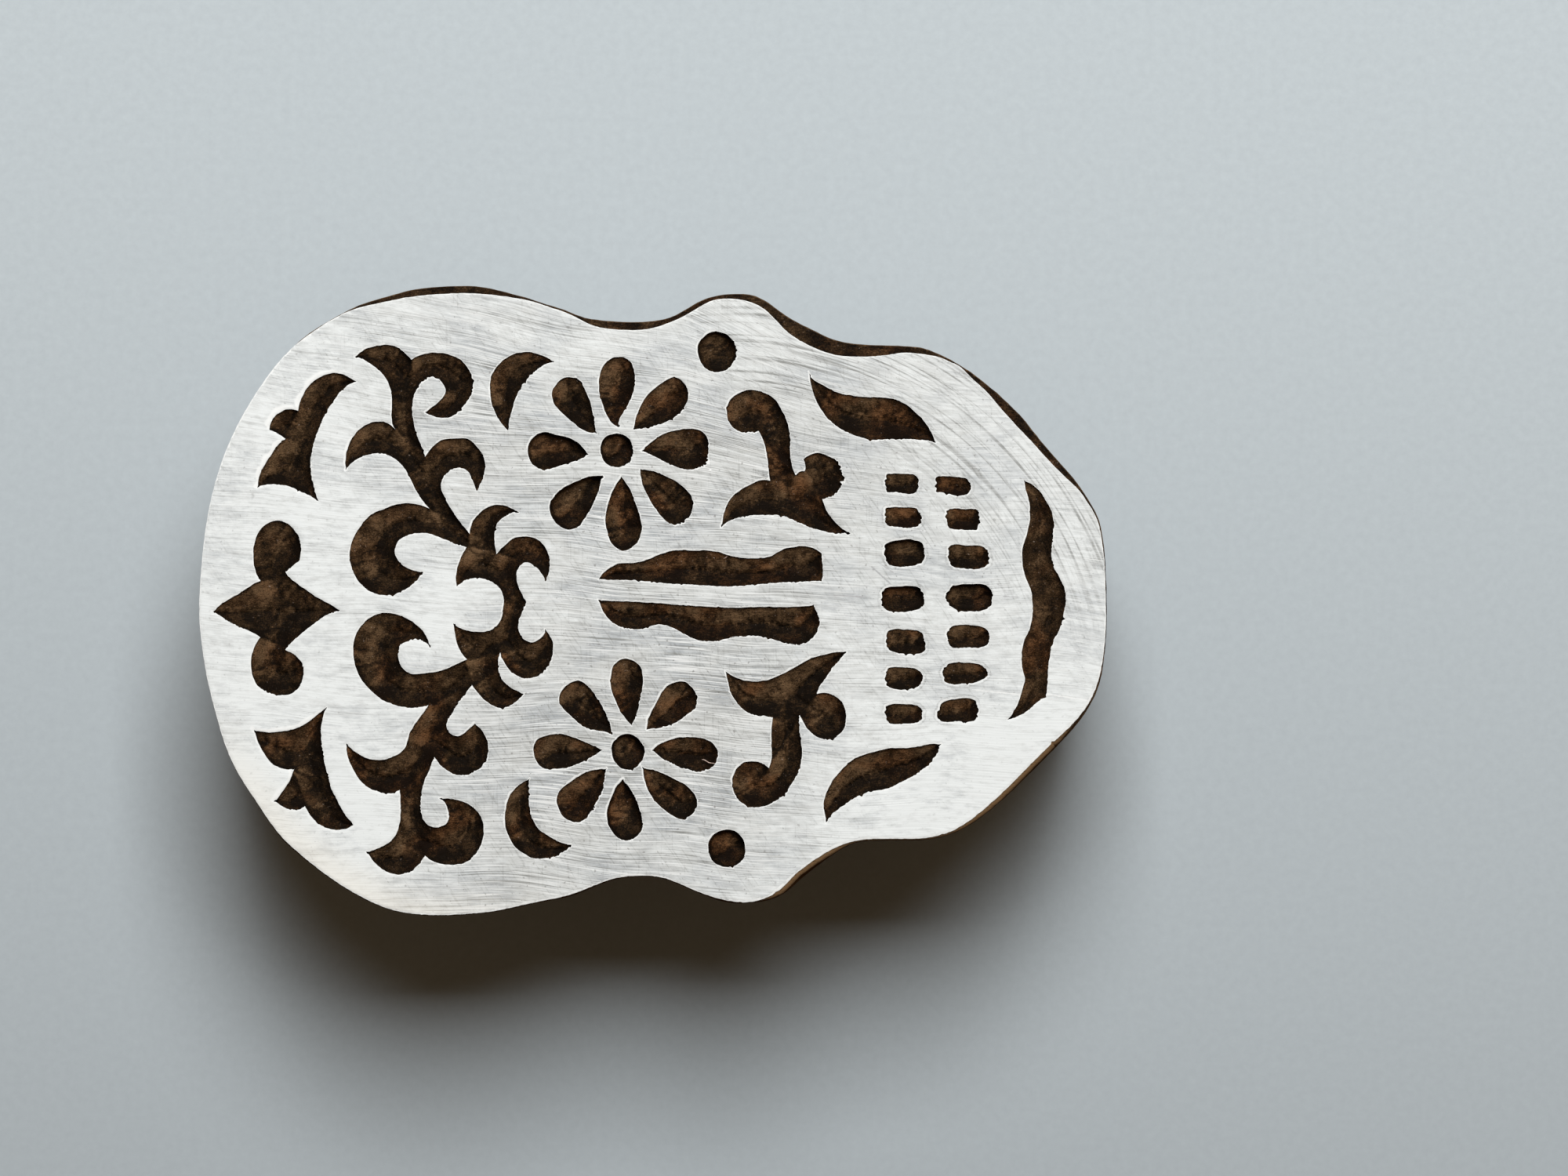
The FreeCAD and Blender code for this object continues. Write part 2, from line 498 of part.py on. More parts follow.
def cut_tool(sheet, strokes, ring):
    """The wood that one cut takes out, with its level at the wood's top."""
    floor = [floor_ring(strokes[0])] if ring else floor_strokes(sheet, strokes)
    sections = []
    for outline, level in [
        (strokes, 0),
        (strokes, -sheet.cut_edge_depth),
        (floor, -sheet.cut_depth),
    ]:
        section = outline_wire(outline, ring)
        section.translate(FreeCAD.Vector(0, 0, level))
        sections.append(section)
    return Part.makeLoft(sections, True, True)


def make_profile(doc, name, wires):
    """A flat profile, with its first wire outside and the others as holes."""
    profile = doc.addObject("Part::Feature", name)
    profile.Shape = Part.makeFace(wires, "Part::FaceMakerBullseye")
    return profile


def extrude(doc, name, profile, height, level):
    """A slab of the profile, with its height and its level bound to the sizes."""
    slab = doc.addObject("Part::Extrusion", name)
    slab.Base = profile
    slab.DirMode = "Custom"
    slab.Dir = FreeCAD.Vector(0, 0, 1)
    slab.Solid = True
    bind(slab, LengthFwd=height, Placement__Base__z=level)
    return slab


def make_cut(doc, name, base, tools):
    """The base with every tool cut out of it."""
    bundle = doc.addObject("Part::Compound", name + "_tools")
    bundle.Links = tools
    cut = doc.addObject("Part::Cut", name)
    cut.Base = base
    cut.Tool = bundle
    cut.Label = name
    return cut


def make_cylinder(doc, name, radius, height, place):
    """A cylinder with its size and place bound to the sizes."""
    cylinder = doc.addObject("Part::Cylinder", name)
    bind(cylinder, Radius=radius, Height=height, **place)
    return cylinder


# Levels of the boards, from the surface under the grip upwards
BACK_LEVEL = "Sizes.handle_height"
CROSS_LEVEL = BACK_LEVEL + " + Sizes.back_board_thickness"
FACE_LEVEL = CROSS_LEVEL + " + Sizes.cross_board_thickness"
LEDGE_LEVEL = FACE_LEVEL + " + Sizes.face_board_thickness - Sizes.relief_height"
COAT_LEVEL = FACE_LEVEL + " + Sizes.face_board_thickness"
PEG_LEVEL = CROSS_LEVEL + " + Sizes.cross_board_thickness / 2 - Sizes.peg_length / 2"
PEG_SIDES = [(-1, -1), (1, -1), (1, 1), (-1, 1)]
SCREW_SIDES = [-1, 1]


def peg_place(side_x, side_y):
    """Place of one dowel, at its lower end."""
    return at(
        f"{side_x} * Sizes.peg_spacing_x / 2",
        f"{side_y} * Sizes.peg_spacing_y / 2",
        PEG_LEVEL,
    )


def make_peg_holes(doc):
    """The four dowel holes, which run through the middle board into its neighbours."""
    return [
        make_cylinder(
            doc, f"peg_hole_{index}", "Sizes.peg_diameter / 2 + Sizes.peg_clearance",
            "Sizes.peg_length", peg_place(*side),
        )
        for index, side in enumerate(PEG_SIDES, start=1)
    ]


def make_pilot_holes(doc):
    """The two screw holes, from under the back board into the middle board."""
    return [
        make_cylinder(
            doc, f"pilot_hole_{index}", "Sizes.screw_diameter / 2 + Sizes.screw_clearance",
            "Sizes.screw_length + Sizes.pilot_spare",
            at(f"{side} * Sizes.screw_spacing / 2", "0", "Sizes.counterbore_depth"),
        )
        for index, side in enumerate(SCREW_SIDES, start=1)
    ]


def origin_plane(body, role):
    """One of the body's own origin planes."""
    for feature in body.Origin.OriginFeatures:
        if feature.Role == role:
            return feature
    raise ValueError(role)


def make_sketch(body, name, role):
    """An empty sketch on one of the body's own origin planes."""
    sketch = body.newObject("Sketcher::SketchObject", name)
    sketch.AttachmentSupport = [(origin_plane(body, role), "")]
    sketch.MapMode = "FlatFace"
    return sketch


def named_constraint(sketch, name, expression, *definition):
    """One constraint with a name of its own, bound to the sizes."""
    index = sketch.addConstraint(Sketcher.Constraint(*definition))
    sketch.renameConstraint(index, name)
    sketch.setExpression(f".Constraints.{name}", expression)


def draw_rounded_bar(sketch, sheet, spare, sign):
    """The plan of the grip with rounded corners, made larger or smaller all round.

    The spare names the size that it grows by, and the sign is 1 to grow, -1 to
    shrink and 0 to keep the grip's own size.
    """
    grow = sign * sheet.get(spare)
    half_length = sheet.handle_length / 2 + grow
    half_width = sheet.handle_width / 2 + grow
    corner = sheet.handle_corner + grow
    straight_x = half_length - corner
    straight_y = half_width - corner
    sides = [
        ((-straight_x, -half_width), (straight_x, -half_width)),
        ((half_length, -straight_y), (half_length, straight_y)),
        ((straight_x, half_width), (-straight_x, half_width)),
        ((-half_length, straight_y), (-half_length, -straight_y)),
    ]
    for start, end in sides:
        sketch.addGeometry(Part.LineSegment(FreeCAD.Vector(*start, 0), FreeCAD.Vector(*end, 0)))
    quarter = math.pi / 2
    centres = [(straight_x, -straight_y), (straight_x, straight_y),
               (-straight_x, straight_y), (-straight_x, -straight_y)]
    for turn, centre in enumerate(centres, start=-1):
        circle = Part.Circle(FreeCAD.Vector(*centre, 0), FreeCAD.Vector(0, 0, 1), corner)
        sketch.addGeometry(Part.ArcOfCircle(circle, turn * quarter, (turn + 1) * quarter))
    for side in range(4):
        arc = side + 4
        sketch.addConstraint(Sketcher.Constraint("Tangent", side, 2, arc, 1))
        sketch.addConstraint(Sketcher.Constraint("Tangent", arc, 2, (side + 1) % 4, 1))
    for side, direction in enumerate(["Horizontal", "Vertical", "Horizontal", "Vertical"]):
        sketch.addConstraint(Sketcher.Constraint(direction, side))
    for arc in range(4, 7):
        sketch.addConstraint(Sketcher.Constraint("Equal", arc, arc + 1))
    sketch.addConstraint(Sketcher.Constraint("Symmetric", 0, 1, 2, 1, -1, 1))
    both_sides = f" + {2 * sign} * Sizes.{spare}"
    named_constraint(sketch, "bar_length", "Sizes.handle_length" + both_sides,
                     "DistanceX", 3, 1, 1, 1, 2 * half_length)
    named_constraint(sketch, "bar_width", "Sizes.handle_width" + both_sides,
                     "DistanceY", 0, 1, 2, 1, 2 * half_width)
    named_constraint(sketch, "bar_corner", f"Sizes.handle_corner + {sign} * Sizes.{spare}",
                     "Radius", 4, corner)


def draw_screw_circles(sketch, sheet, diameter):
    """One circle of the diameter at each of the two screws."""
    start_radius = sheet.screw_diameter / 2
    reach = sheet.screw_spacing / 2
    for index, side in enumerate(SCREW_SIDES):
        centre = FreeCAD.Vector(side * reach, 0, 0)
        sketch.addGeometry(Part.Circle(centre, FreeCAD.Vector(0, 0, 1), start_radius))
        ends = (index, 3, -1, 1) if side < 0 else (-1, 1, index, 3)
        named_constraint(sketch, f"reach_{index}", "Sizes.screw_spacing / 2",
                         "DistanceX", *ends, reach)
        sketch.addConstraint(Sketcher.Constraint("PointOnObject", index, 3, -1))
        named_constraint(sketch, f"radius_{index}", f"({diameter}) / 2",
                         "Radius", index, start_radius)


def pocket_up(body, name, sketch, length):
    """Cut the sketch out of the body, upwards from its plane."""
    cut = body.newObject("PartDesign::Pocket", name)
    cut.Profile = sketch
    cut.Reversed = True
    bind(cut, Length=length)
    return cut


def make_handle(doc, sheet):
    """The grip: a bar with rounded corners, drawn in to a waist for the fingers."""
    body = doc.addObject("PartDesign::Body", "handle")
    foot_plan = make_sketch(body, "foot_plan", "XY_Plane")
    draw_rounded_bar(foot_plan, sheet, "cove_depth", 0)
    foot = body.newObject("PartDesign::Pad", "handle_foot")
    foot.Profile = foot_plan
    bind(foot, Length="Sizes.foot_height")
    doc.recompute()
    rim_edges = [
        f"Edge{index}" for index, edge in enumerate(foot.Shape.Edges, start=1)
        if edge.BoundBox.ZMax < sheet.foot_height / 2
    ]
    rim = body.newObject("PartDesign::Fillet", "handle_rim")
    rim.Base = (foot, rim_edges)
    bind(rim, Radius="Sizes.handle_round")
    sections = []
    for name, level, sign in [
        ("waist_lower", "Sizes.foot_height", 0),
        ("waist_middle", "Sizes.foot_height + Sizes.cove_height / 2", -1),
        ("waist_upper", "Sizes.foot_height + Sizes.cove_height", 0),
    ]:
        section = make_sketch(body, name, "XY_Plane")
        section.setExpression(".AttachmentOffset.Base.z", level)
        draw_rounded_bar(section, sheet, "cove_depth", sign)
        sections.append(section)
    waist = body.newObject("PartDesign::AdditiveLoft", "handle_waist")
    waist.Profile = sections[0]
    waist.Sections = sections[1:]
    doc.recompute()
    head = body.newObject("PartDesign::Pad", "handle_head")
    head.Profile = sections[-1]
    bind(head, Length="Sizes.handle_height + Sizes.housing_depth"
                      " - Sizes.foot_height - Sizes.cove_height")
    for name, diameter, depth in [
        ("counterbore", "Sizes.counterbore_diameter", "Sizes.counterbore_depth"),
        ("screw_way", "Sizes.screw_diameter + 2 * Sizes.screw_clearance",
         "Sizes.handle_height + Sizes.housing_depth + Sizes.overrun"),
    ]:
        sketch = make_sketch(body, name + "_plan", "XY_Plane")
        draw_screw_circles(sketch, sheet, diameter)
        pocket_up(body, name, sketch, depth)
    doc.recompute()
    return body


def make_housing(doc, sheet):
    """The shape of the shallow housing in the back board that takes the grip."""
    body = doc.addObject("PartDesign::Body", "housing_shape")
    plan = make_sketch(body, "housing_plan", "XY_Plane")
    draw_rounded_bar(plan, sheet, "housing_clearance", 1)
    block = body.newObject("PartDesign::Pad", "housing_block")
    block.Profile = plan
    bind(block, Length="Sizes.housing_depth + Sizes.overrun")
    bind(body, Placement__Base__z=BACK_LEVEL + " - Sizes.overrun")
    return body


def make_peg(doc, index, side):
    """One dowel with a small chamfer at both ends."""
    body = doc.addObject("PartDesign::Body", f"dowel_{index}")
    rod = body.newObject("PartDesign::AdditiveCylinder", f"dowel_rod_{index}")
    bind(rod, Radius="Sizes.peg_diameter / 2", Height="Sizes.peg_length")
    doc.recompute()
    rims = [
        f"Edge{number}" for number, edge in enumerate(rod.Shape.Edges, start=1)
        if isinstance(edge.Curve, Part.Circle)
    ]
    chamfer = body.newObject("PartDesign::Chamfer", f"dowel_ends_{index}")
    chamfer.Base = (rod, rims)
    bind(chamfer, Size="Sizes.peg_chamfer")
    bind(body, **peg_place(*side))
    return body


def make_screw(doc, sheet):
    """One round-head wood screw, its head down in the grip and its point up."""
    body = doc.addObject("PartDesign::Body", "screw")
    sketch = make_sketch(body, "screw_section", "XZ_Plane")
    shank = sheet.screw_diameter / 2
    head = sheet.screw_head_diameter / 2
    height = sheet.screw_head_height
    shoulder = sheet.screw_length - sheet.screw_tip
    corners = [(0, sheet.screw_length), (shank, shoulder), (shank, 0), (head, 0)]
    for (x1, y1), (x2, y2) in zip(corners, corners[1:]):
        sketch.addGeometry(Part.LineSegment(FreeCAD.Vector(x1, y1, 0), FreeCAD.Vector(x2, y2, 0)))
    dome = (head ** 2 + height ** 2) / (2 * height)
    circle = Part.Circle(FreeCAD.Vector(0, dome - height, 0), FreeCAD.Vector(0, 0, 1), dome)
    sketch.addGeometry(Part.ArcOfCircle(circle, -math.pi / 2, math.atan2(height - dome, head)))
    sketch.addGeometry(Part.LineSegment(FreeCAD.Vector(0, -height, 0),
                                        FreeCAD.Vector(0, sheet.screw_length, 0)))
    for ends in [(0, 2, 1, 1), (1, 2, 2, 1), (2, 2, 3, 2), (3, 1, 4, 1), (4, 2, 0, 1)]:
        sketch.addConstraint(Sketcher.Constraint("Coincident", *ends))
    sketch.addConstraint(Sketcher.Constraint("Vertical", 1))
    sketch.addConstraint(Sketcher.Constraint("PointOnObject", 2, 1, -1))
    sketch.addConstraint(Sketcher.Constraint("PointOnObject", 2, 2, -1))
    sketch.addConstraint(Sketcher.Constraint("PointOnObject", 4, 1, -2))
    sketch.addConstraint(Sketcher.Constraint("PointOnObject", 4, 2, -2))
    sketch.addConstraint(Sketcher.Constraint("PointOnObject", 3, 3, -2))
    named_constraint(sketch, "shank_radius", "Sizes.screw_diameter / 2",
                     "DistanceX", -1, 1, 2, 1, shank)
    named_constraint(sketch, "head_radius", "Sizes.screw_head_diameter / 2",
                     "DistanceX", -1, 1, 2, 2, head)
    named_constraint(sketch, "head_height", "Sizes.screw_head_height",
                     "DistanceY", 4, 1, -1, 1, height)
    named_constraint(sketch, "screw_length", "Sizes.screw_length",
                     "DistanceY", -1, 1, 4, 2, sheet.screw_length)
    named_constraint(sketch, "tip_length", "Sizes.screw_tip",
                     "DistanceY", 0, 2, 0, 1, sheet.screw_tip)
    turned = body.newObject("PartDesign::Revolution", "screw_turned")
    turned.Profile = sketch
    turned.ReferenceAxis = (sketch, ["V_Axis"])
    slot_plan = make_sketch(body, "slot_plan", "XY_Plane")
    slot_plan.setExpression(".AttachmentOffset.Base.z", "-Sizes.screw_head_height")
    half_x = head + sheet.overrun
    half_y = sheet.slot_width / 2
    outline = [(-half_x, -half_y), (half_x, -half_y), (half_x, half_y), (-half_x, half_y)]
    for (x1, y1), (x2, y2) in zip(outline, outline[1:] + outline[:1]):
        slot_plan.addGeometry(Part.LineSegment(FreeCAD.Vector(x1, y1, 0), FreeCAD.Vector(x2, y2, 0)))
    for side in range(4):
        slot_plan.addConstraint(Sketcher.Constraint("Coincident", side, 2, (side + 1) % 4, 1))
    for side, direction in enumerate(["Horizontal", "Vertical", "Horizontal", "Vertical"]):
        slot_plan.addConstraint(Sketcher.Constraint(direction, side))
    slot_plan.addConstraint(Sketcher.Constraint("Symmetric", 0, 1, 2, 1, -1, 1))
    named_constraint(slot_plan, "slot_length", "Sizes.screw_head_diameter + 2 * Sizes.overrun",
                     "DistanceX", 0, 1, 0, 2, 2 * half_x)
    named_constraint(slot_plan, "slot_width", "Sizes.slot_width",
                     "DistanceY", 1, 1, 1, 2, 2 * half_y)
    pocket_up(body, "screw_slot", slot_plan, "Sizes.slot_depth")
    bind(body, **at("Sizes.screw_spacing / 2", "0", "Sizes.counterbore_depth"))
    doc.recompute()
    return body


def make_group(doc, name, members):
    """Separate solids of one kind that share a name."""
    group = doc.addObject("Part::Compound", name)
    group.Links = members
    return group


def make_boards(doc, sheet, pegs, pilots, housing):
    """The white ground and the three boards under it, from the face down."""
    outlines = cut_outlines(sheet)
    rims = [outline_wire(*outline) for outline in outlines]
    body_profile = make_profile(doc, "body_profile", [block_wire(sheet, BODY_PX)])
    face_profile = make_profile(doc, "face_profile", [block_wire(sheet, FACE_PX)])
    coat_profile = make_profile(doc, "coat_profile", [block_wire(sheet, FACE_PX)] + rims)

    coat = extrude(doc, "ground_coat", coat_profile, "Sizes.coat_thickness", COAT_LEVEL)

    slab = extrude(doc, "face_slab", body_profile,
                   "Sizes.face_board_thickness - Sizes.relief_height", FACE_LEVEL)
    relief = extrude(doc, "face_relief", face_profile, "Sizes.relief_height", LEDGE_LEVEL)
    stepped = doc.addObject("Part::Fuse", "face_stepped")
    stepped.Base = slab
    stepped.Tool = relief
    cuts = doc.addObject("Part::Feature", "carved_cuts")
    cuts.Shape = Part.makeCompound([cut_tool(sheet, *outline) for outline in outlines])
    bind(cuts, **at("0", "0", COAT_LEVEL))
    face_board = make_cut(doc, "face_board", stepped, pegs + [cuts])

    cross_slab = extrude(doc, "cross_slab", body_profile, "Sizes.cross_board_thickness", CROSS_LEVEL)
    cross_board = make_cut(doc, "cross_board", cross_slab, pegs + pilots)

    back_slab = extrude(doc, "back_slab", body_profile, "Sizes.back_board_thickness", BACK_LEVEL)
    doc.recompute()
    rounded = doc.addObject("Part::Fillet", "back_rounded")
    rounded.Base = back_slab
    radius = min(sheet.back_rim_round, sheet.back_board_thickness / 2)
    rounded.Edges = [
        (index, radius, radius) for index, edge in enumerate(back_slab.Shape.Edges, start=1)
        if edge.BoundBox.ZMax < sheet.handle_height + radius
    ]
    back_board = make_cut(doc, "back_board", rounded, pegs + pilots + [housing])
    return [coat, face_board, cross_board, back_board]


def check(doc, parts):
    """Stop if any object failed, or if any piece is not a sound solid."""
    for obj in doc.Objects:
        if "Invalid" in obj.State or "Error" in obj.State:
            raise RuntimeError(f"{obj.Name} failed: {obj.State}")
    for part in parts:
        if part.Shape.isNull() or not part.Shape.isValid() or not part.Shape.Solids:
            raise RuntimeError(f"{part.Label} has no sound solid")


def main():
    """Build the block and write one file for each piece."""
    doc = FreeCAD.newDocument("printing_block")
    sheet = make_sheet(doc)
    peg_holes = make_peg_holes(doc)
    pilot_holes = make_pilot_holes(doc)
    housing = make_housing(doc, sheet)
    parts = make_boards(doc, sheet, peg_holes, pilot_holes, housing)
    pegs = [make_peg(doc, index, side) for index, side in enumerate(PEG_SIDES, start=1)]
    parts.append(make_group(doc, "dowel_pegs", pegs))
    parts.append(make_handle(doc, sheet))
    screw = make_screw(doc, sheet)
    twin = doc.addObject("Part::Mirroring", "screw_twin")
    twin.Source = screw
    twin.Normal = FreeCAD.Vector(1, 0, 0)
    parts.append(make_group(doc, "handle_screws", [screw, twin]))
    doc.recompute()
    check(doc, parts)
    os.makedirs("parts", exist_ok=True)
    for part in parts:
        part.Shape.exportStep(f"parts/{part.Label}.step")
        box = part.Shape.BoundBox
        print(f"{part.Label}: {len(part.Shape.Solids)} solid(s), {part.Shape.Volume:.0f} mm3, "
              f"x {box.XMin:.2f}..{box.XMax:.2f}, y {box.YMin:.2f}..{box.YMax:.2f}, "
              f"z {box.ZMin:.2f}..{box.ZMax:.2f}")


main()
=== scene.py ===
"""Visual model of a hand printing block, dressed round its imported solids.

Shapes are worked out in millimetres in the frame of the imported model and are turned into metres
where a mesh is made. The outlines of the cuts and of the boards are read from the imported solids, so
the carving follows them exactly.
"""

import logging
import math
from dataclasses import dataclass, field
from enum import Enum
from typing import Any, Optional, Sequence, Union

import bpy
import numpy as np
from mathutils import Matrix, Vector, geometry, kdtree

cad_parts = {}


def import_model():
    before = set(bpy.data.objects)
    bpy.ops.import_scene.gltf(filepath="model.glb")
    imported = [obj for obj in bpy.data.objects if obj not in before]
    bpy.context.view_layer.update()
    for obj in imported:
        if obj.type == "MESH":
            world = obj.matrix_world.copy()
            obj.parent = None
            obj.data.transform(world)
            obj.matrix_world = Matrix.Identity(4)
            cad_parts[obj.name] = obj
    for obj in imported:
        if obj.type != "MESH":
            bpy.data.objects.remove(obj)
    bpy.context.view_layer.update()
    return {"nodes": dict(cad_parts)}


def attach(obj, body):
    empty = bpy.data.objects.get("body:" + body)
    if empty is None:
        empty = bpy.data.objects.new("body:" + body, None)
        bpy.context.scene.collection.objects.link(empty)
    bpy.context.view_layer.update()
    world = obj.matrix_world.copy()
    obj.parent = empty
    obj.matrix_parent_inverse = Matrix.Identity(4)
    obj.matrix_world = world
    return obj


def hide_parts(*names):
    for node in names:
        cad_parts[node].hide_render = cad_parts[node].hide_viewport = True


LOG = logging.getLogger("printing_block")
MM = 0.001
FAR = 1e9
# The short cuts between the jaws are smaller than this area and longer than wide by this factor.
TOOTH_AREA = 17.5
TOOTH_STRETCH = 1.2
# The edges of the cuts are rougher on this side, and the white is thicker along them; its brighter
# rim there is partly a painted highlight of light from this side.
ROUGH_SIDE = np.array([0.66, -0.75])
Colour = tuple[float, float, float]
Range = tuple[float, float]
Link = Union["Value", float, int, tuple, Vector]


class Grain(Enum):
    """Which way the fibres of a wooden piece run."""

    LENGTHWISE = (1.0, 0.0, 0.0)
    ACROSS = (0.0, 1.0, 0.0)
    UPRIGHT = (0.0, 0.0, 1.0)


@dataclass(frozen=True)
class Pattern:
    """Smooth noise, told by how often it repeats in a millimetre along each of three axes."""

    repeats: tuple[float, float, float]
    offset: float = 0.0
    detail: float = 2.0
    roughness: float = 0.5


@dataclass(frozen=True)
class Scratch:
    """A straight scratch in the white layer."""

    start: tuple[float, float]
    end: tuple[float, float]
    half_width: float
    shade: Colour
    shake: Pattern = Pattern((1.3, 1.3, 0.0), 23.0, 2.0, 0.6)


class Value:
    """One output of a shader node. Arithmetic on it adds Math nodes."""

    def __init__(self, graph: "Graph", socket: bpy.types.NodeSocket) -> None:
        """Keep the socket and the graph that it belongs to.

        Args:
            graph: The graph that new nodes go into.
            socket: The output socket.
        """
        self.graph = graph
        self.socket = socket

    def _math(self, operation: str, *values: Link, clamp: bool = False) -> "Value":
        """Add one Math node.

        Args:
            operation: The Math node's operation.
            values: What its inputs take, in order.
            clamp: Whether the result is kept between 0 and 1.

        Returns:
            The node's output.
        """
        settings = {"operation": operation, "use_clamp": clamp}
        return self.graph.node("ShaderNodeMath", settings, dict(enumerate(values)))

    def __add__(self, other: Link) -> "Value":
        """Return self + other."""
        return self._math("ADD", self, other)

    def __radd__(self, other: Link) -> "Value":
        """Return other + self."""
        return self._math("ADD", other, self)

    def __sub__(self, other: Link) -> "Value":
        """Return self - other."""
        return self._math("SUBTRACT", self, other)

    def __rsub__(self, other: Link) -> "Value":
        """Return other - self."""
        return self._math("SUBTRACT", other, self)

    def __mul__(self, other: Link) -> "Value":
        """Return self * other."""
        return self._math("MULTIPLY", self, other)

    def __rmul__(self, other: Link) -> "Value":
        """Return other * self."""
        return self._math("MULTIPLY", other, self)

    def __truediv__(self, other: Link) -> "Value":
        """Return self / other."""
        return self._math("DIVIDE", self, other)

    def __rtruediv__(self, other: Link) -> "Value":
        """Return other / self."""
        return self._math("DIVIDE", other, self)

    def __neg__(self) -> "Value":
        """Return the value with its sign turned."""
        return self._math("MULTIPLY", self, -1.0)

    def clamped(self) -> "Value":
        """Return the value kept between 0 and 1."""
        return self._math("ADD", self, 0.0, clamp=True)

    def root(self) -> "Value":
        """Return the square root."""
        return self._math("SQRT", self)

    def fraction(self) -> "Value":
        """Return what follows the decimal point."""
        return self._math("FRACT", self)

    def angle(self, other: Link) -> "Value":
        """Return the angle of the point (other, self) in radians."""
        return self._math("ARCTAN2", self, other)

    def largest(self, other: Link) -> "Value":
        """Return the larger of self and other."""
        return self._math("MAXIMUM", self, other)

    def ramp(self, low: float, high: float, start: float = 0.0, end: float = 1.0) -> "Value":
        """Turn a range of the value into another one, with a smooth rise.

        Args:
            low: The value at which the rise starts.
            high: The value at which it ends.
            start: The result at low and below.
            end: The result at high and above.

        Returns:
            The mapped value.
        """
        settings = {"interpolation_type": "SMOOTHSTEP"}
        inputs = {0: self, 1: low, 2: high, 3: start, 4: end}
        return self.graph.node("ShaderNodeMapRange", settings, inputs)


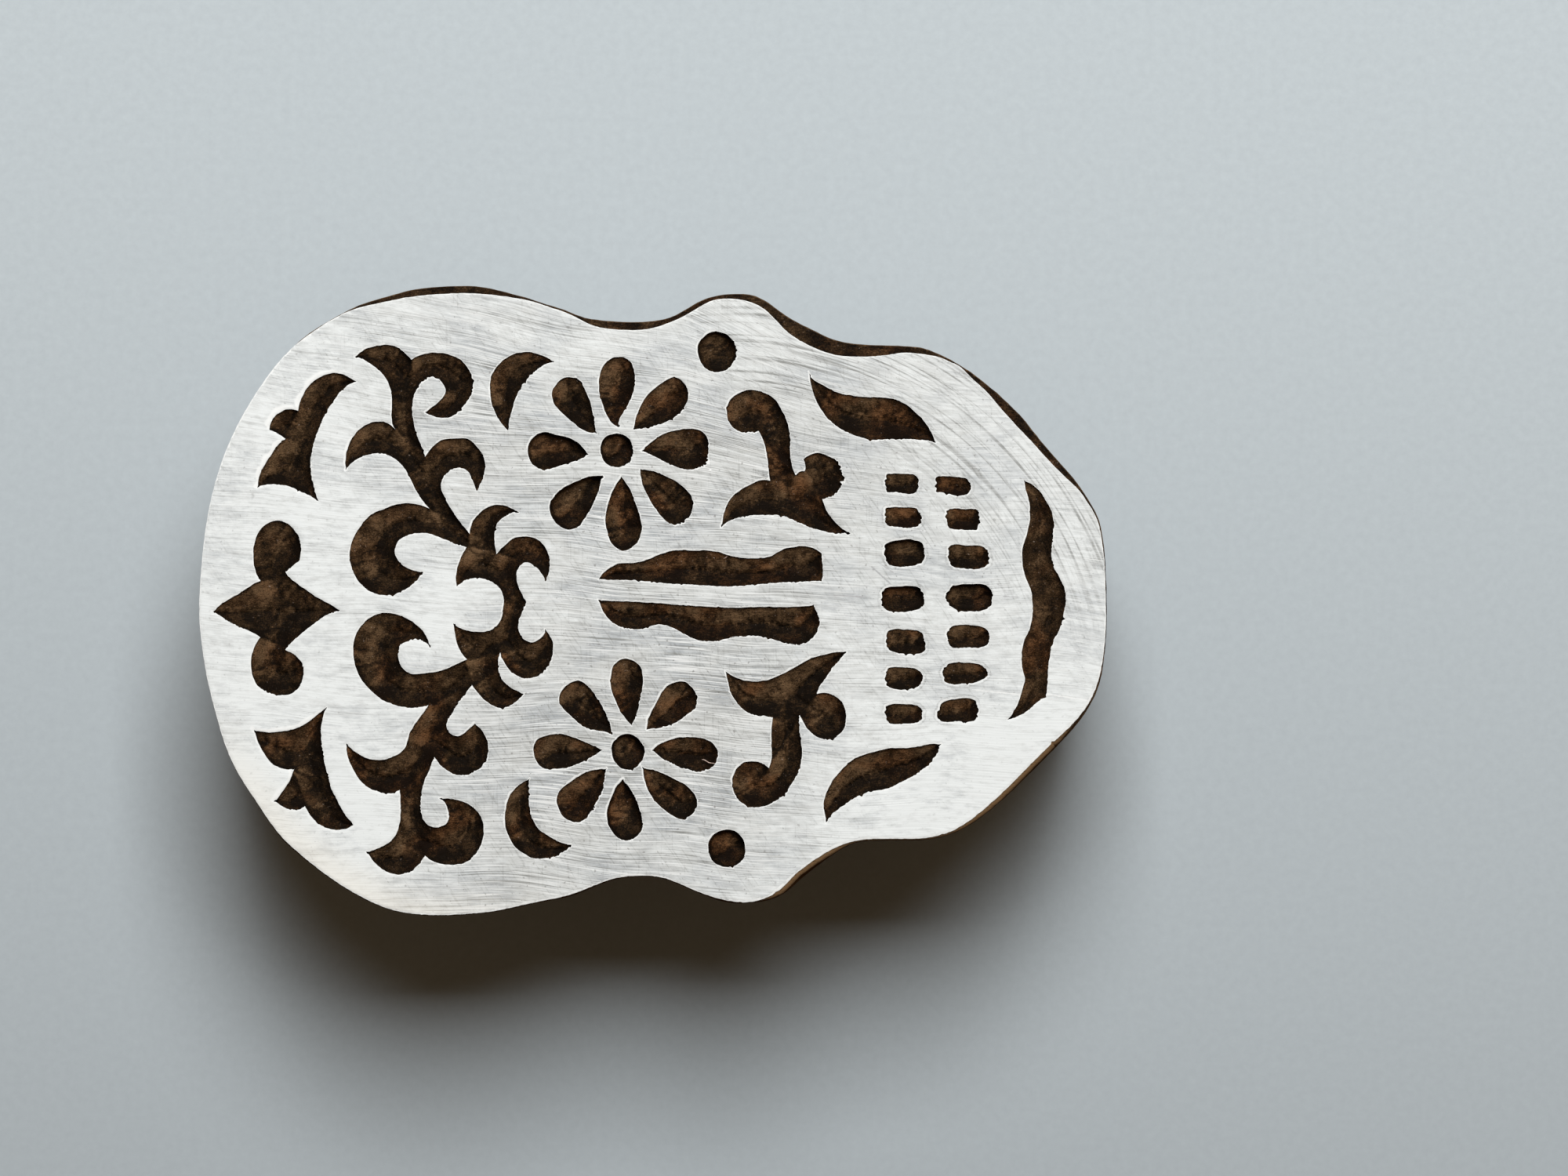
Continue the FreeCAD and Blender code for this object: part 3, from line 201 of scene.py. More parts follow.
class Graph:
    """The nodes of one material or of the world."""

    def __init__(self, owner: Union[bpy.types.Material, bpy.types.World]) -> None:
        """Start with no nodes.

        Args:
            owner: The material or world whose nodes are made.
        """
        owner.use_nodes = True
        self.tree = owner.node_tree
        self.tree.nodes.clear()

    def add(self, kind: str, settings: dict[str, Any],
            inputs: dict[Union[int, str], Link]) -> bpy.types.Node:
        """Add one node: its settings come first, then what its sockets take.

        Args:
            kind: The node's type.
            settings: Its properties, and under "stops" the stops of its ramp.
            inputs: The value or link of each named or numbered input.

        Returns:
            The node.
        """
        made = self.tree.nodes.new(kind)
        for name, setting in settings.items():
            if name == "stops":
                self._set_stops(made.color_ramp, setting)
            else:
                setattr(made, name, setting)
        for name, value in inputs.items():
            socket = made.inputs[name]
            if isinstance(value, Value):
                self.tree.links.new(value.socket, socket)
            elif isinstance(value, (tuple, Vector)) and len(value) < len(socket.default_value):
                socket.default_value = (*value, 1.0)
            else:
                socket.default_value = value
        return made

    def node(self, kind: str, settings: Optional[dict[str, Any]] = None,
             inputs: Optional[dict[Union[int, str], Link]] = None,
             output: Union[int, str] = 0) -> Value:
        """Add one node and return one of its outputs.

        Args:
            kind: The node's type.
            settings: Its properties, as in add.
            inputs: What its sockets take, as in add.
            output: The output that is wanted.

        Returns:
            That output.
        """
        return Value(self, self.add(kind, settings or {}, inputs or {}).outputs[output])

    @staticmethod
    def _set_stops(ramp: bpy.types.ColorRamp, stops: Sequence[tuple[float, Colour]]) -> None:
        """Give a ramp its stops.

        Args:
            ramp: The ramp.
            stops: Place and colour of each stop.
        """
        while len(ramp.elements) < len(stops):
            ramp.elements.new(1.0)
        for element, (place, colour) in zip(ramp.elements, stops):
            element.position = place
            element.color = (*colour, 1.0)

    def place(self) -> tuple[Value, Value, Value]:
        """Read where a surface point lies.

        Returns:
            Its three coordinates in millimetres.
        """
        spot = self.node("ShaderNodeTexCoord", output="Object")
        scaled = self.vector("MULTIPLY", spot, (1.0 / MM, 1.0 / MM, 1.0 / MM))
        parts = self.node("ShaderNodeSeparateXYZ", inputs={0: scaled})
        sockets = parts.socket.node.outputs
        return Value(self, sockets[0]), Value(self, sockets[1]), Value(self, sockets[2])

    def join(self, x: Link, y: Link, z: Link = 0.0) -> Value:
        """Return a vector made of three values."""
        return self.node("ShaderNodeCombineXYZ", inputs={0: x, 1: y, 2: z})

    def vector(self, operation: str, first: Link, second: Link) -> Value:
        """Return one Vector Math node's result on two vectors."""
        return self.node("ShaderNodeVectorMath", {"operation": operation}, {0: first, 1: second})

    def noise(self, pattern: Pattern, x: Value, y: Value, z: Link = 0.0) -> Value:
        """Return smooth noise of about 0 to 1 round one half.

        Args:
            pattern: The noise.
            x: The first coordinate.
            y: The second coordinate.
            z: The third coordinate, left out where the noise is flat.

        Returns:
            The noise at these coordinates.
        """
        along, across, up = pattern.repeats
        spot = self.join(x * along, y * across, z * up + pattern.offset)
        inputs = {"Vector": spot, "Scale": 1.0, "Detail": pattern.detail,
                  "Roughness": pattern.roughness}
        return self.node("ShaderNodeTexNoise", {"noise_dimensions": "3D"}, inputs)

    def painted(self, name: str) -> Value:
        """Return a number that is kept at each point of the mesh."""
        return self.node("ShaderNodeAttribute", {"attribute_name": name}, output="Fac")

    def mix(self, factor: Link, first: Link, second: Link, blend: str = "MIX") -> Value:
        """Return two colours mixed.

        Args:
            factor: The share of the second colour.
            first: The first colour.
            second: The second colour.
            blend: How they are mixed.

        Returns:
            The mixed colour.
        """
        settings = {"data_type": "RGBA", "blend_type": blend}
        return self.node("ShaderNodeMix", settings, {0: factor, 6: first, 7: second}, output=2)

    def scratched(self, x: Value, y: Value, scratch: Scratch) -> Value:
        """Return a soft mask along a straight scratch.

        Args:
            x: The surface point's first coordinate.
            y: Its second coordinate.
            scratch: The scratch.

        Returns:
            One on the scratch and zero away from it.
        """
        (start_x, start_y), (end_x, end_y) = scratch.start, scratch.end
        run_x, run_y = end_x - start_x, end_y - start_y
        length = math.hypot(run_x, run_y)
        off_x, off_y = x - start_x, y - start_y
        share = ((off_x * run_x + off_y * run_y) / length ** 2).clamped()
        gap_x, gap_y = off_x - share * run_x, off_y - share * run_y
        width = scratch.half_width
        shake = (self.noise(scratch.shake, x, y) - 0.5) * width * 3.0
        gap = (gap_x * gap_x + gap_y * gap_y).root() + shake
        return gap.ramp(width * 0.4, width, 1.0, 0.0)

    def bump(self, height: Value, depth: float) -> Value:
        """Return a normal that a height in 0 to 1 raises by depth millimetres."""
        inputs = {"Strength": 1.0, "Distance": depth * MM, "Height": height}
        return self.node("ShaderNodeBump", inputs=inputs, output="Normal")

    def surface(self, inputs: dict[Union[int, str], Link]) -> None:
        """End the graph in a Principled shader with these inputs."""
        self.end(self.node("ShaderNodeBsdfPrincipled", inputs=inputs), "ShaderNodeOutputMaterial")

    def end(self, shader: Value, kind: str) -> None:
        """Send a shader to an output node of this kind."""
        self.add(kind, {}, {"Surface": shader})


@dataclass(frozen=True)
class ChalkGround:
    """The white layer: chalk and gum, brushed on, rubbed down along the block.

    Each ramp on a pattern says from which level of the noise to which its marks come in, so that a
    narrow ramp far above one half draws few and sharp ones.
    """

    name: str = "white_ground"
    solid: Colour = (0.824, 0.862, 0.862)
    worn: Colour = (0.464, 0.475, 0.458)
    bluish: Colour = (0.390, 0.418, 0.436)
    score: Colour = (0.248, 0.255, 0.244)
    # rim: the thick white's colour; along the cuts it is partly a painted highlight.
    rim: Colour = (0.908, 0.930, 0.920)
    speck: Colour = (0.16, 0.15, 0.14)
    cream: Colour = (0.89, 0.845, 0.735)
    chipped: Colour = (0.045, 0.030, 0.019)
    fray: Pattern = Pattern((3.4, 3.4, 0.0), 27.0, 2.0, 0.6)
    drift: Pattern = Pattern((0.035, 0.035, 0.0), 3.0, 1.0)
    dark_lines: Pattern = Pattern((0.085, 5.6, 0.0), 1.0, 2.0, 0.58)
    light_lines: Pattern = Pattern((0.11, 6.6, 0.0), 12.0, 2.0, 0.62)
    hair_lines: Pattern = Pattern((0.16, 8.5, 0.0), 31.0, 1.0, 0.5)
    bundles: Pattern = Pattern((0.05, 0.42, 0.0), 17.0, 2.0, 0.5)
    broad_streaks: Pattern = Pattern((0.06, 0.75, 0.0), 7.0, 3.0, 0.55)
    arc_lines: Pattern = Pattern((2.6, 1.7, 0.0), 2.0, 1.6, 0.55)
    arc_streaks: Pattern = Pattern((0.7, 3.2, 0.0), 6.0, 3.0, 0.6)
    slanting_lines: Pattern = Pattern((1.0, 1.0, 0.0), 4.0, 2.0, 0.6)
    cross_lines: Pattern = Pattern((4.2, 0.22, 0.0), 14.0, 2.0, 0.6)
    mottle: Pattern = Pattern((0.50, 1.7, 1.0), 0.0, 4.0, 0.70)
    clouds: Pattern = Pattern((0.10, 0.15, 0.0), 5.0, 3.0, 0.55)
    dots: Pattern = Pattern((2.1, 2.1, 0.0), 9.0, 1.0, 0.4)
    arc_middle: tuple[float, float] = (9.3, -14.4)
    line_fall: float = 0.055
    line_drift: float = 5.0
    rim_fray: float = 0.17
    flake_fray: float = 0.9
    halo_gap: float = 0.36
    scratch_strength: float = 0.8
    roughness: float = 0.52
    specular: float = 0.35
    relief: float = 0.028
    scratches: tuple[Scratch, ...] = (
        Scratch((40.3, -11.2), (46.2, -11.8), 0.10, (0.91, 0.93, 0.92)),
        Scratch((49.6, -11.7), (56.1, -12.8), 0.11, (0.91, 0.93, 0.92)),
        Scratch((22.9, 0.7), (26.8, 0.5), 0.09, (0.42, 0.42, 0.43)),
        Scratch((44.2, 0.6), (46.3, 0.4), 0.09, (0.42, 0.42, 0.43)),
        Scratch((27.6, 4.3), (29.9, 2.2), 0.13, (0.40, 0.41, 0.42)),
        Scratch((28.4, 4.9), (30.3, 3.6), 0.09, (0.46, 0.47, 0.48)),
    )

    def material(self) -> bpy.types.Material:
        """Build the material.

        Returns:
            The material.
        """
        made = bpy.data.materials.new(self.name)
        g = Graph(made)
        x, y, z = g.place()
        fray = g.noise(self.fray, x, y) - 0.5
        rim = self._rim(g, fray)
        line = self._brushed(g, x, y)
        arcs, calm = g.painted("arcs"), g.painted("calm")
        radius, turn = self._round_arcs(x, y)
        ring = g.noise(self.arc_lines, radius, turn)
        sweep = g.noise(self.arc_streaks, radius, turn)
        dark = g.noise(self.dark_lines, x, line) * (1.0 - arcs) + ring * arcs
        light = g.noise(self.light_lines, x, line)
        broad = g.noise(self.broad_streaks, x, line) * (1.0 - arcs) + sweep * arcs
        mottle = g.noise(self.mottle, x, line, z)
        clouds = g.noise(self.clouds, x, y)
        thin = (g.painted("worn") + (clouds - 0.5) * 1.05 + (mottle - 0.5) * 0.6).clamped()
        body = (thin * 0.86 + (broad - 0.5) * 0.75 + (mottle - 0.5) * 1.30).clamped()
        cool = g.mix(clouds.ramp(0.40, 0.62), self.worn, self.bluish)
        colour = g.mix(body, self.solid, cool)
        scores = self._scores(g, x, y, line, dark, thin, calm)
        scores = scores + arcs * ring.ramp(0.50, 0.66) * 0.42
        scores = scores + self._halo(g, mottle, fray) * clouds.ramp(0.42, 0.56) * 0.36
        colour = g.mix((scores * (1.0 - rim * 0.8)).clamped(), colour, self.score)
        bristle = light.ramp(0.51, 0.62) * (0.14 + thin * 0.78) * (1.0 - calm * 0.4)
        colour = g.mix(bristle, colour, self.rim)
        colour = g.mix(g.painted("cream") * 0.66, colour, self.cream)
        # The thick rim, partly a painted highlight along the lips of the cuts.
        colour = g.mix(rim * 0.9, colour, self.rim)
        dots = g.noise(self.dots, x, y).ramp(0.69, 0.75)
        colour = g.mix(dots * (0.15 + thin * 0.5) * (1.0 - rim), colour, self.speck)
        for scratch in self.scratches:
            mask = g.scratched(x, y, scratch) * self.scratch_strength
            colour = g.mix(mask, colour, scratch.shade)
        colour = g.mix(g.painted("chip"), colour, self.chipped)
        marks = 0.5 - (dark - 0.5) + (light - 0.5) * 0.6
        relief = marks * (1.0 - rim * 0.7) + mottle * 0.25
        g.surface({
            "Base Color": colour,
            "Roughness": (self.roughness + marks * 0.22).clamped(),
            "Specular IOR Level": self.specular,
            "Normal": g.bump(relief, self.relief),
        })
        return made

    def _rim(self, g: Graph, fray: Value) -> Value:
        """Return a mask of the thick white round flakes and along cuts, partly a painted highlight.

        Args:
            g: The graph.
            fray: The noise that frays its border.

        Returns:
            One in the thick white and zero elsewhere.
        """
        lip = (g.painted("gap") + fray * self.rim_fray) / g.painted("lip")
        flake = (g.painted("flake") + fray * self.flake_fray).ramp(0.4, 0.6)
        return lip.ramp(0.60, 1.05, 1.0, 0.0).largest(flake)

    def _brushed(self, g: Graph, x: Value, y: Value) -> Value:
        """Return the coordinate across the brush strokes, which drift and tilt over the face."""
        drift = (g.noise(self.drift, x, y) - 0.5) * self.line_drift
        return y + x * self.line_fall + g.painted("tilt") + drift

    def _round_arcs(self, x: Value, y: Value) -> tuple[Value, Value]:
        """Return distance and angle round the middle of the curved strokes."""
        away_x, away_y = x - self.arc_middle[0], y - self.arc_middle[1]
        return (away_x * away_x + away_y * away_y).root(), away_y.angle(away_x)

    def _scores(self, g: Graph, x: Value, y: Value, line: Value, dark: Value, thin: Value,
                calm: Value) -> Value:
        """Return how strongly dark lines are scored through the layer.

        Args:
            g: The graph.
            x: The surface point's first coordinate.
            y: Its second coordinate.
            line: Its coordinate across the brush strokes.
            dark: The noise of the dark lines.
            thin: How thin the layer is.
            calm: Where the layer is quieter.

        Returns:
            The strength of the lines.
        """
        bundle = g.noise(self.bundles, x, line).ramp(0.38, 0.66, 0.15, 1.3)
        hair = g.noise(self.hair_lines, x, line).ramp(0.52, 0.66)
        slanting = g.noise(self.slanting_lines, x * 2.9 + y * 2.0, y * 0.15 - x * 0.2)
        cross = g.noise(self.cross_lines, x, y)
        scores = (dark.ramp(0.50, 0.63) * bundle + hair * 0.55) * (0.13 + thin * 0.76)
        scores = scores * (1.0 - calm * 0.62)
        scores = scores + slanting.ramp(0.54, 0.68) * (thin * 0.45 + calm * 0.16)
        return scores + cross.ramp(0.58, 0.70) * thin * 0.40

    def _halo(self, g: Graph, mottle: Value, fray: Value) -> Value:
        """Return a mask of the thin line that runs round the short cuts between the jaws."""
        halo = g.painted("halo") + (mottle - 0.5) * 0.4 + fray * 0.34 - self.halo_gap
        return halo.largest(-halo).ramp(0.02, 0.12, 1.0, 0.0)


@dataclass(frozen=True)
class CarvedWood:
    """Dark hardwood with cut facets: painted warm where painted lit, black in painted shade."""

    name: str = "carved_hardwood"
    black: Colour = (0.0060, 0.0034, 0.0016)
    brown: Colour = (0.038, 0.0208, 0.0090)
    warm: Colour = (0.180, 0.108, 0.055)
    dust: Colour = (0.36, 0.28, 0.23)
    # Light wood colour at the ledge's outer edge, and painted light on the lower right side.
    bare: Colour = (0.190, 0.113, 0.054)
    reddening: Colour = (1.25, 0.90, 0.68)
    fibre: Pattern = Pattern((0.6, 5.0, 5.0), 0.0, 3.0, 0.65)
    bands: Pattern = Pattern((0.045, 0.5, 1.5), 0.0, 3.0, 0.55)
    strands: Pattern = Pattern((0.16, 3.2, 4.4), 5.0, 3.0, 0.62)
    blotches: Pattern = Pattern((0.46, 0.54, 0.6), 4.0, 3.0, 0.58)
    patches: Pattern = Pattern((2.3, 2.6, 2.0), 9.0, 3.0, 0.62)
    grit: Pattern = Pattern((6.2, 6.2, 6.2), 0.0, 1.5, 0.7)
    pores: Pattern = Pattern((1.9, 7.0, 7.0), 0.0, 1.0, 0.5)
    tears: Pattern = Pattern((1.5, 1.9, 1.4), 21.0, 3.0, 0.6)
    hue: Pattern = Pattern((0.20, 0.20, 0.2), 2.0, 2.0, 0.5)
    powder: Pattern = Pattern((2.9, 2.9, 2.9), 0.0, 2.0, 0.6)
    brown_stop: float = 0.40
    roughness: float = 0.70
    specular: float = 0.09
    relief: float = 0.14

    def material(self) -> bpy.types.Material:
        """Build the material.

        Returns:
            The material.
        """
        made = bpy.data.materials.new(self.name)
        g = Graph(made)
        x, y, z = g.place()
        # tone carries painted light and shade of the facets, as well as the wood's own uneven tone.
        tone, sawn = g.painted("tone"), g.painted("sawn")
        cut = 1.0 - sawn
        fibre = g.noise(self.fibre, x, y, z)
        blotch = g.noise(self.blotches, x, y, z)
        patch = g.noise(self.patches, x, y, z)
        grit = g.noise(self.grit, x, y, z)
        pores = g.noise(self.pores, x, y, z).ramp(0.58, 0.70)
        cloud = blotch.ramp(0.36, 0.64, -0.5, 0.5) * 0.36 + patch.ramp(0.34, 0.66, -0.5, 0.5) * 0.11
        torn = g.noise(self.tears, x, y, z) - 0.5
        crease = torn.largest(-torn).ramp(0.0, 0.035, 1.0, 0.0)
        crest = (torn - 0.045).largest(0.045 - torn).ramp(0.0, 0.03, 1.0, 0.0)
        marks = cloud + (grit - 0.5) * 1.10 - crease * 0.13 + crest * 0.09
        level = tone + marks * (0.16 + cut * 0.84)
        level = level + (fibre - 0.5) * 0.58 - pores * 0.10
        level = level + sawn * self._sawn_marks(g, x, y, z)
        stops = [(0.0, self.black), (self.brown_stop, self.brown), (1.0, self.warm)]
        colour = g.node("ShaderNodeValToRGB", {"stops": stops}, {0: level.clamped()})
        cooler = x.ramp(-30.0, 0.0, 0.7, 0.0) * y.ramp(-12.0, 8.0)
        warmth = g.noise(self.hue, x, y, z).ramp(0.42, 0.66, 0.0, 0.7)
        warmth = warmth * (1.0 - cooler) * (0.4 + cut * 0.6)
        colour = g.mix(warmth, colour, self.reddening, "MULTIPLY")
        powder = g.noise(self.powder, x, y, z).ramp(0.685, 0.73)
        colour = g.mix(powder * 0.85 * (0.1 + tone), colour, self.dust)
        # Light wood at the ledge's edge, and painted light on the rubbed lower right side.
        bare = g.painted("bare") * (0.55 + fibre * 0.9)
        colour = g.mix(bare.clamped(), colour, self.bare)
        relief = fibre * 0.45 + blotch * 0.3 + grit * 0.35 - pores * 0.35
        g.surface({
            "Base Color": colour,
            "Roughness": (self.roughness + fibre * 0.22).clamped(),
            "Specular IOR Level": self.specular,
            "Normal": g.bump(relief, self.relief),
        })
        return made

    def _sawn_marks(self, g: Graph, x: Value, y: Value, z: Value) -> Value:
        """Return the lengthwise bands and strands of the sawn side."""
        bands = (g.noise(self.bands, x, y, z) - 0.5) * 1.1
        return bands + (g.noise(self.strands, x, y, z) - 0.5) * 1.0


@dataclass(frozen=True)
class PlainWood:
    """Sawn or turned wood with rings, pores and handling wear."""

    name: str
    grain: Grain
    early: Colour
    late: Colour
    pore: Colour
    ring_width: float = 2.4
    roughness: float = 0.55
    relief: float = 0.06
    oiled: float = 0.0
    specular: float = 0.35
    coat_roughness: float = 0.35
    pith_depth: float = 31.0
    pith_wander: float = 12.0
    wander: Pattern = Pattern((0.02, 0.05, 0.05), 0.0, 2.0, 0.5)
    fibre: Pattern = Pattern((0.28, 5.5, 5.5), 0.0, 3.0, 0.62)
    pores: Pattern = Pattern((0.8, 8.0, 8.0), 3.0, 1.0, 0.5)
    stain: Pattern = Pattern((0.06, 0.06, 0.06), 0.0, 3.0, 0.6)
    grime: Pattern = Pattern((0.16, 0.16, 0.16), 8.0, 3.0, 0.6)

    def material(self) -> bpy.types.Material:
        """Build the material.

        Returns:
            The material.
        """
        made = bpy.data.materials.new(self.name)
        g = Graph(made)
        x, y, z = g.place()
        ways = {Grain.LENGTHWISE: (x, y, z), Grain.ACROSS: (y, x, z), Grain.UPRIGHT: (z, x, y)}
        along, side, height = ways[self.grain]
        rings = self._rings(g, along, side, height)
        fibre = g.noise(self.fibre, along, side, height)
        pores = g.noise(self.pores, along, side, height).ramp(0.61, 0.70)
        stain = g.noise(self.stain, x, y, z)
        share = (rings * 0.55 + (fibre - 0.5) * 0.75 + 0.16 + (stain - 0.5) * 0.5).clamped()
        colour = g.mix(share, self.early, self.late)
        colour = g.mix(pores * 0.75, colour, self.pore)
        grime = g.noise(self.grime, x, y, z).ramp(0.52, 0.75)
        colour = g.mix(grime * 0.45, colour, self.pore)
        colour = g.mix(g.painted("handled") * fibre * 0.55, colour, self.pore)
        colour = g.mix(g.painted("seam") * (0.5 + fibre * 0.6), colour, self.pore)
        g.surface({
            "Base Color": colour,
            "Roughness": (self.roughness + (fibre - 0.5) * 0.25 + pores * 0.12).clamped(),
            "Specular IOR Level": self.specular,
            "Coat Weight": self.oiled * 0.5,
            "Coat Roughness": self.coat_roughness,
            "Normal": g.bump(fibre * 0.5 - pores * 0.5 + rings * 0.2, self.relief),
        })
        return made

    def _rings(self, g: Graph, along: Value, side: Value, height: Value) -> Value:
        """Return the year rings, from 0 in the early wood to 1 in the late wood.

        Args:
            g: The graph.
            along: The coordinate along the fibres.
            side: The coordinate to the side.
            height: The third coordinate.

        Returns:
            The rings.
        """
        wander = (g.noise(self.wander, along, side, height) - 0.5) * self.pith_wander
        lift = height + self.pith_depth
        spread = (side * side * 0.35 + lift * lift).root() + wander
        rings = (spread / self.ring_width).fraction()
        return rings.ramp(0.0, 0.82) * rings.ramp(0.86, 1.0, 1.0, 0.0)


CROSS_GRAIN_WOOD = PlainWood(
    name="cross_grain_wood",
    grain=Grain.ACROSS,
    early=(0.145, 0.080, 0.044),
    late=(0.075, 0.040, 0.022),
    pore=(0.022, 0.013, 0.008),
    ring_width=1.5,
)
BACKING_WOOD = PlainWood(
    name="backing_wood",
    grain=Grain.LENGTHWISE,
    early=(0.185, 0.108, 0.060),
    late=(0.090, 0.051, 0.029),
    pore=(0.026, 0.016, 0.010),
    ring_width=3.0,
)
GRIP_WOOD = PlainWood(
    name="grip_wood",
    grain=Grain.LENGTHWISE,
    early=(0.25, 0.135, 0.068),
    late=(0.12, 0.062, 0.032),
    pore=(0.04, 0.024, 0.014),
    ring_width=3.1,
    roughness=0.42,
    relief=0.05,
    oiled=0.5,
)
PEG_WOOD = PlainWood(
    name="peg_wood",
    grain=Grain.UPRIGHT,
    early=(0.46, 0.33, 0.19),
    late=(0.34, 0.23, 0.13),
    pore=(0.16, 0.10, 0.06),
    ring_width=1.1,
)


@dataclass(frozen=True)
class DryFibre:
    """Pale, dry fibres and hairs that were torn loose."""

    name: str = "dry_fibre"
    pale: Colour = (0.86, 0.68, 0.60)
    dark: Colour = (0.50, 0.36, 0.29)
    shade: Pattern = Pattern((2.2, 2.2, 2.2), 0.0, 3.0, 0.6)
    roughness: float = 0.55
    specular: float = 0.3
    relief: float = 0.02

    def material(self) -> bpy.types.Material:
        """Build the material.

        Returns:
            The material.
        """
        made = bpy.data.materials.new(self.name)
        g = Graph(made)
        shade = g.noise(self.shade, *g.place())
        g.surface({
            "Base Color": g.mix(shade.ramp(0.35, 0.65), self.pale, self.dark),
            "Roughness": (self.roughness + shade * 0.3).clamped(),
            "Specular IOR Level": self.specular,
            "Normal": g.bump(shade, self.relief),
        })
        return made


@dataclass(frozen=True)
class OldBrass:
    """Dull brass of the screws, with brown tarnish in the low places."""

    name: str = "screw_brass"
    bright: Colour = (0.62, 0.47, 0.22)
    tarnish: Colour = (0.20, 0.13, 0.06)
    film: Pattern = Pattern((0.7, 0.7, 0.7), 0.0, 4.0, 0.6)
    scratches: Pattern = Pattern((0.8, 9.0, 9.0), 0.0, 2.0, 0.6)
    roughness: float = 0.30
    relief: float = 0.02

    def material(self) -> bpy.types.Material:
        """Build the material.

        Returns:
            The material.
        """
        made = bpy.data.materials.new(self.name)
        g = Graph(made)
        x, y, z = g.place()
        film = g.noise(self.film, x, y, z).ramp(0.36, 0.66)
        scratches = g.noise(self.scratches, x, y, z)
        g.surface({
            "Base Color": g.mix(film, self.bright, self.tarnish),
            "Metallic": 1.0,
            "Roughness": (self.roughness + film * 0.28 + scratches * 0.12).clamped(),
            "Normal": g.bump(scratches, self.relief),
        })
        return made


class Ripple:
    """Seeded smooth noise between -1 and 1 over a line or a plane."""

    def __init__(self, seed: int, size: int = 256) -> None:
        """Fill the table.

        Args:
            seed: The seed.
            size: Steps after which the noise repeats.
        """
        self.size = size
        self.table = np.random.default_rng(seed).uniform(-1.0, 1.0, (size, size))

    def at(self, x: np.ndarray, y: Union[np.ndarray, float] = 0.0) -> np.ndarray:
        """Return the noise at points.

        Args:
            x: First coordinates.
            y: Second coordinates, or a row of the table.

        Returns:
            One value for each point.
        """
        x, y = np.broadcast_arrays(np.asarray(x, float), np.asarray(y, float))
        i, j = np.floor(x).astype(int), np.floor(y).astype(int)
        u, v = x - i, y - j
        u, v = u * u * (3 - 2 * u), v * v * (3 - 2 * v)
        i0, i1, j0, j1 = i % self.size, (i + 1) % self.size, j % self.size, (j + 1) % self.size
        low = self.table[j0, i0] * (1 - u) + self.table[j0, i1] * u
        high = self.table[j1, i0] * (1 - u) + self.table[j1, i1] * u
        return low * (1 - v) + high * v


def smooth_rise(value: np.ndarray, low: float, high: float) -> np.ndarray:
    """Return 0 below low, 1 above high and a smooth rise between them."""
    share = np.clip((value - low) / (high - low), 0.0, 1.0)
    return share * share * (3 - 2 * share)


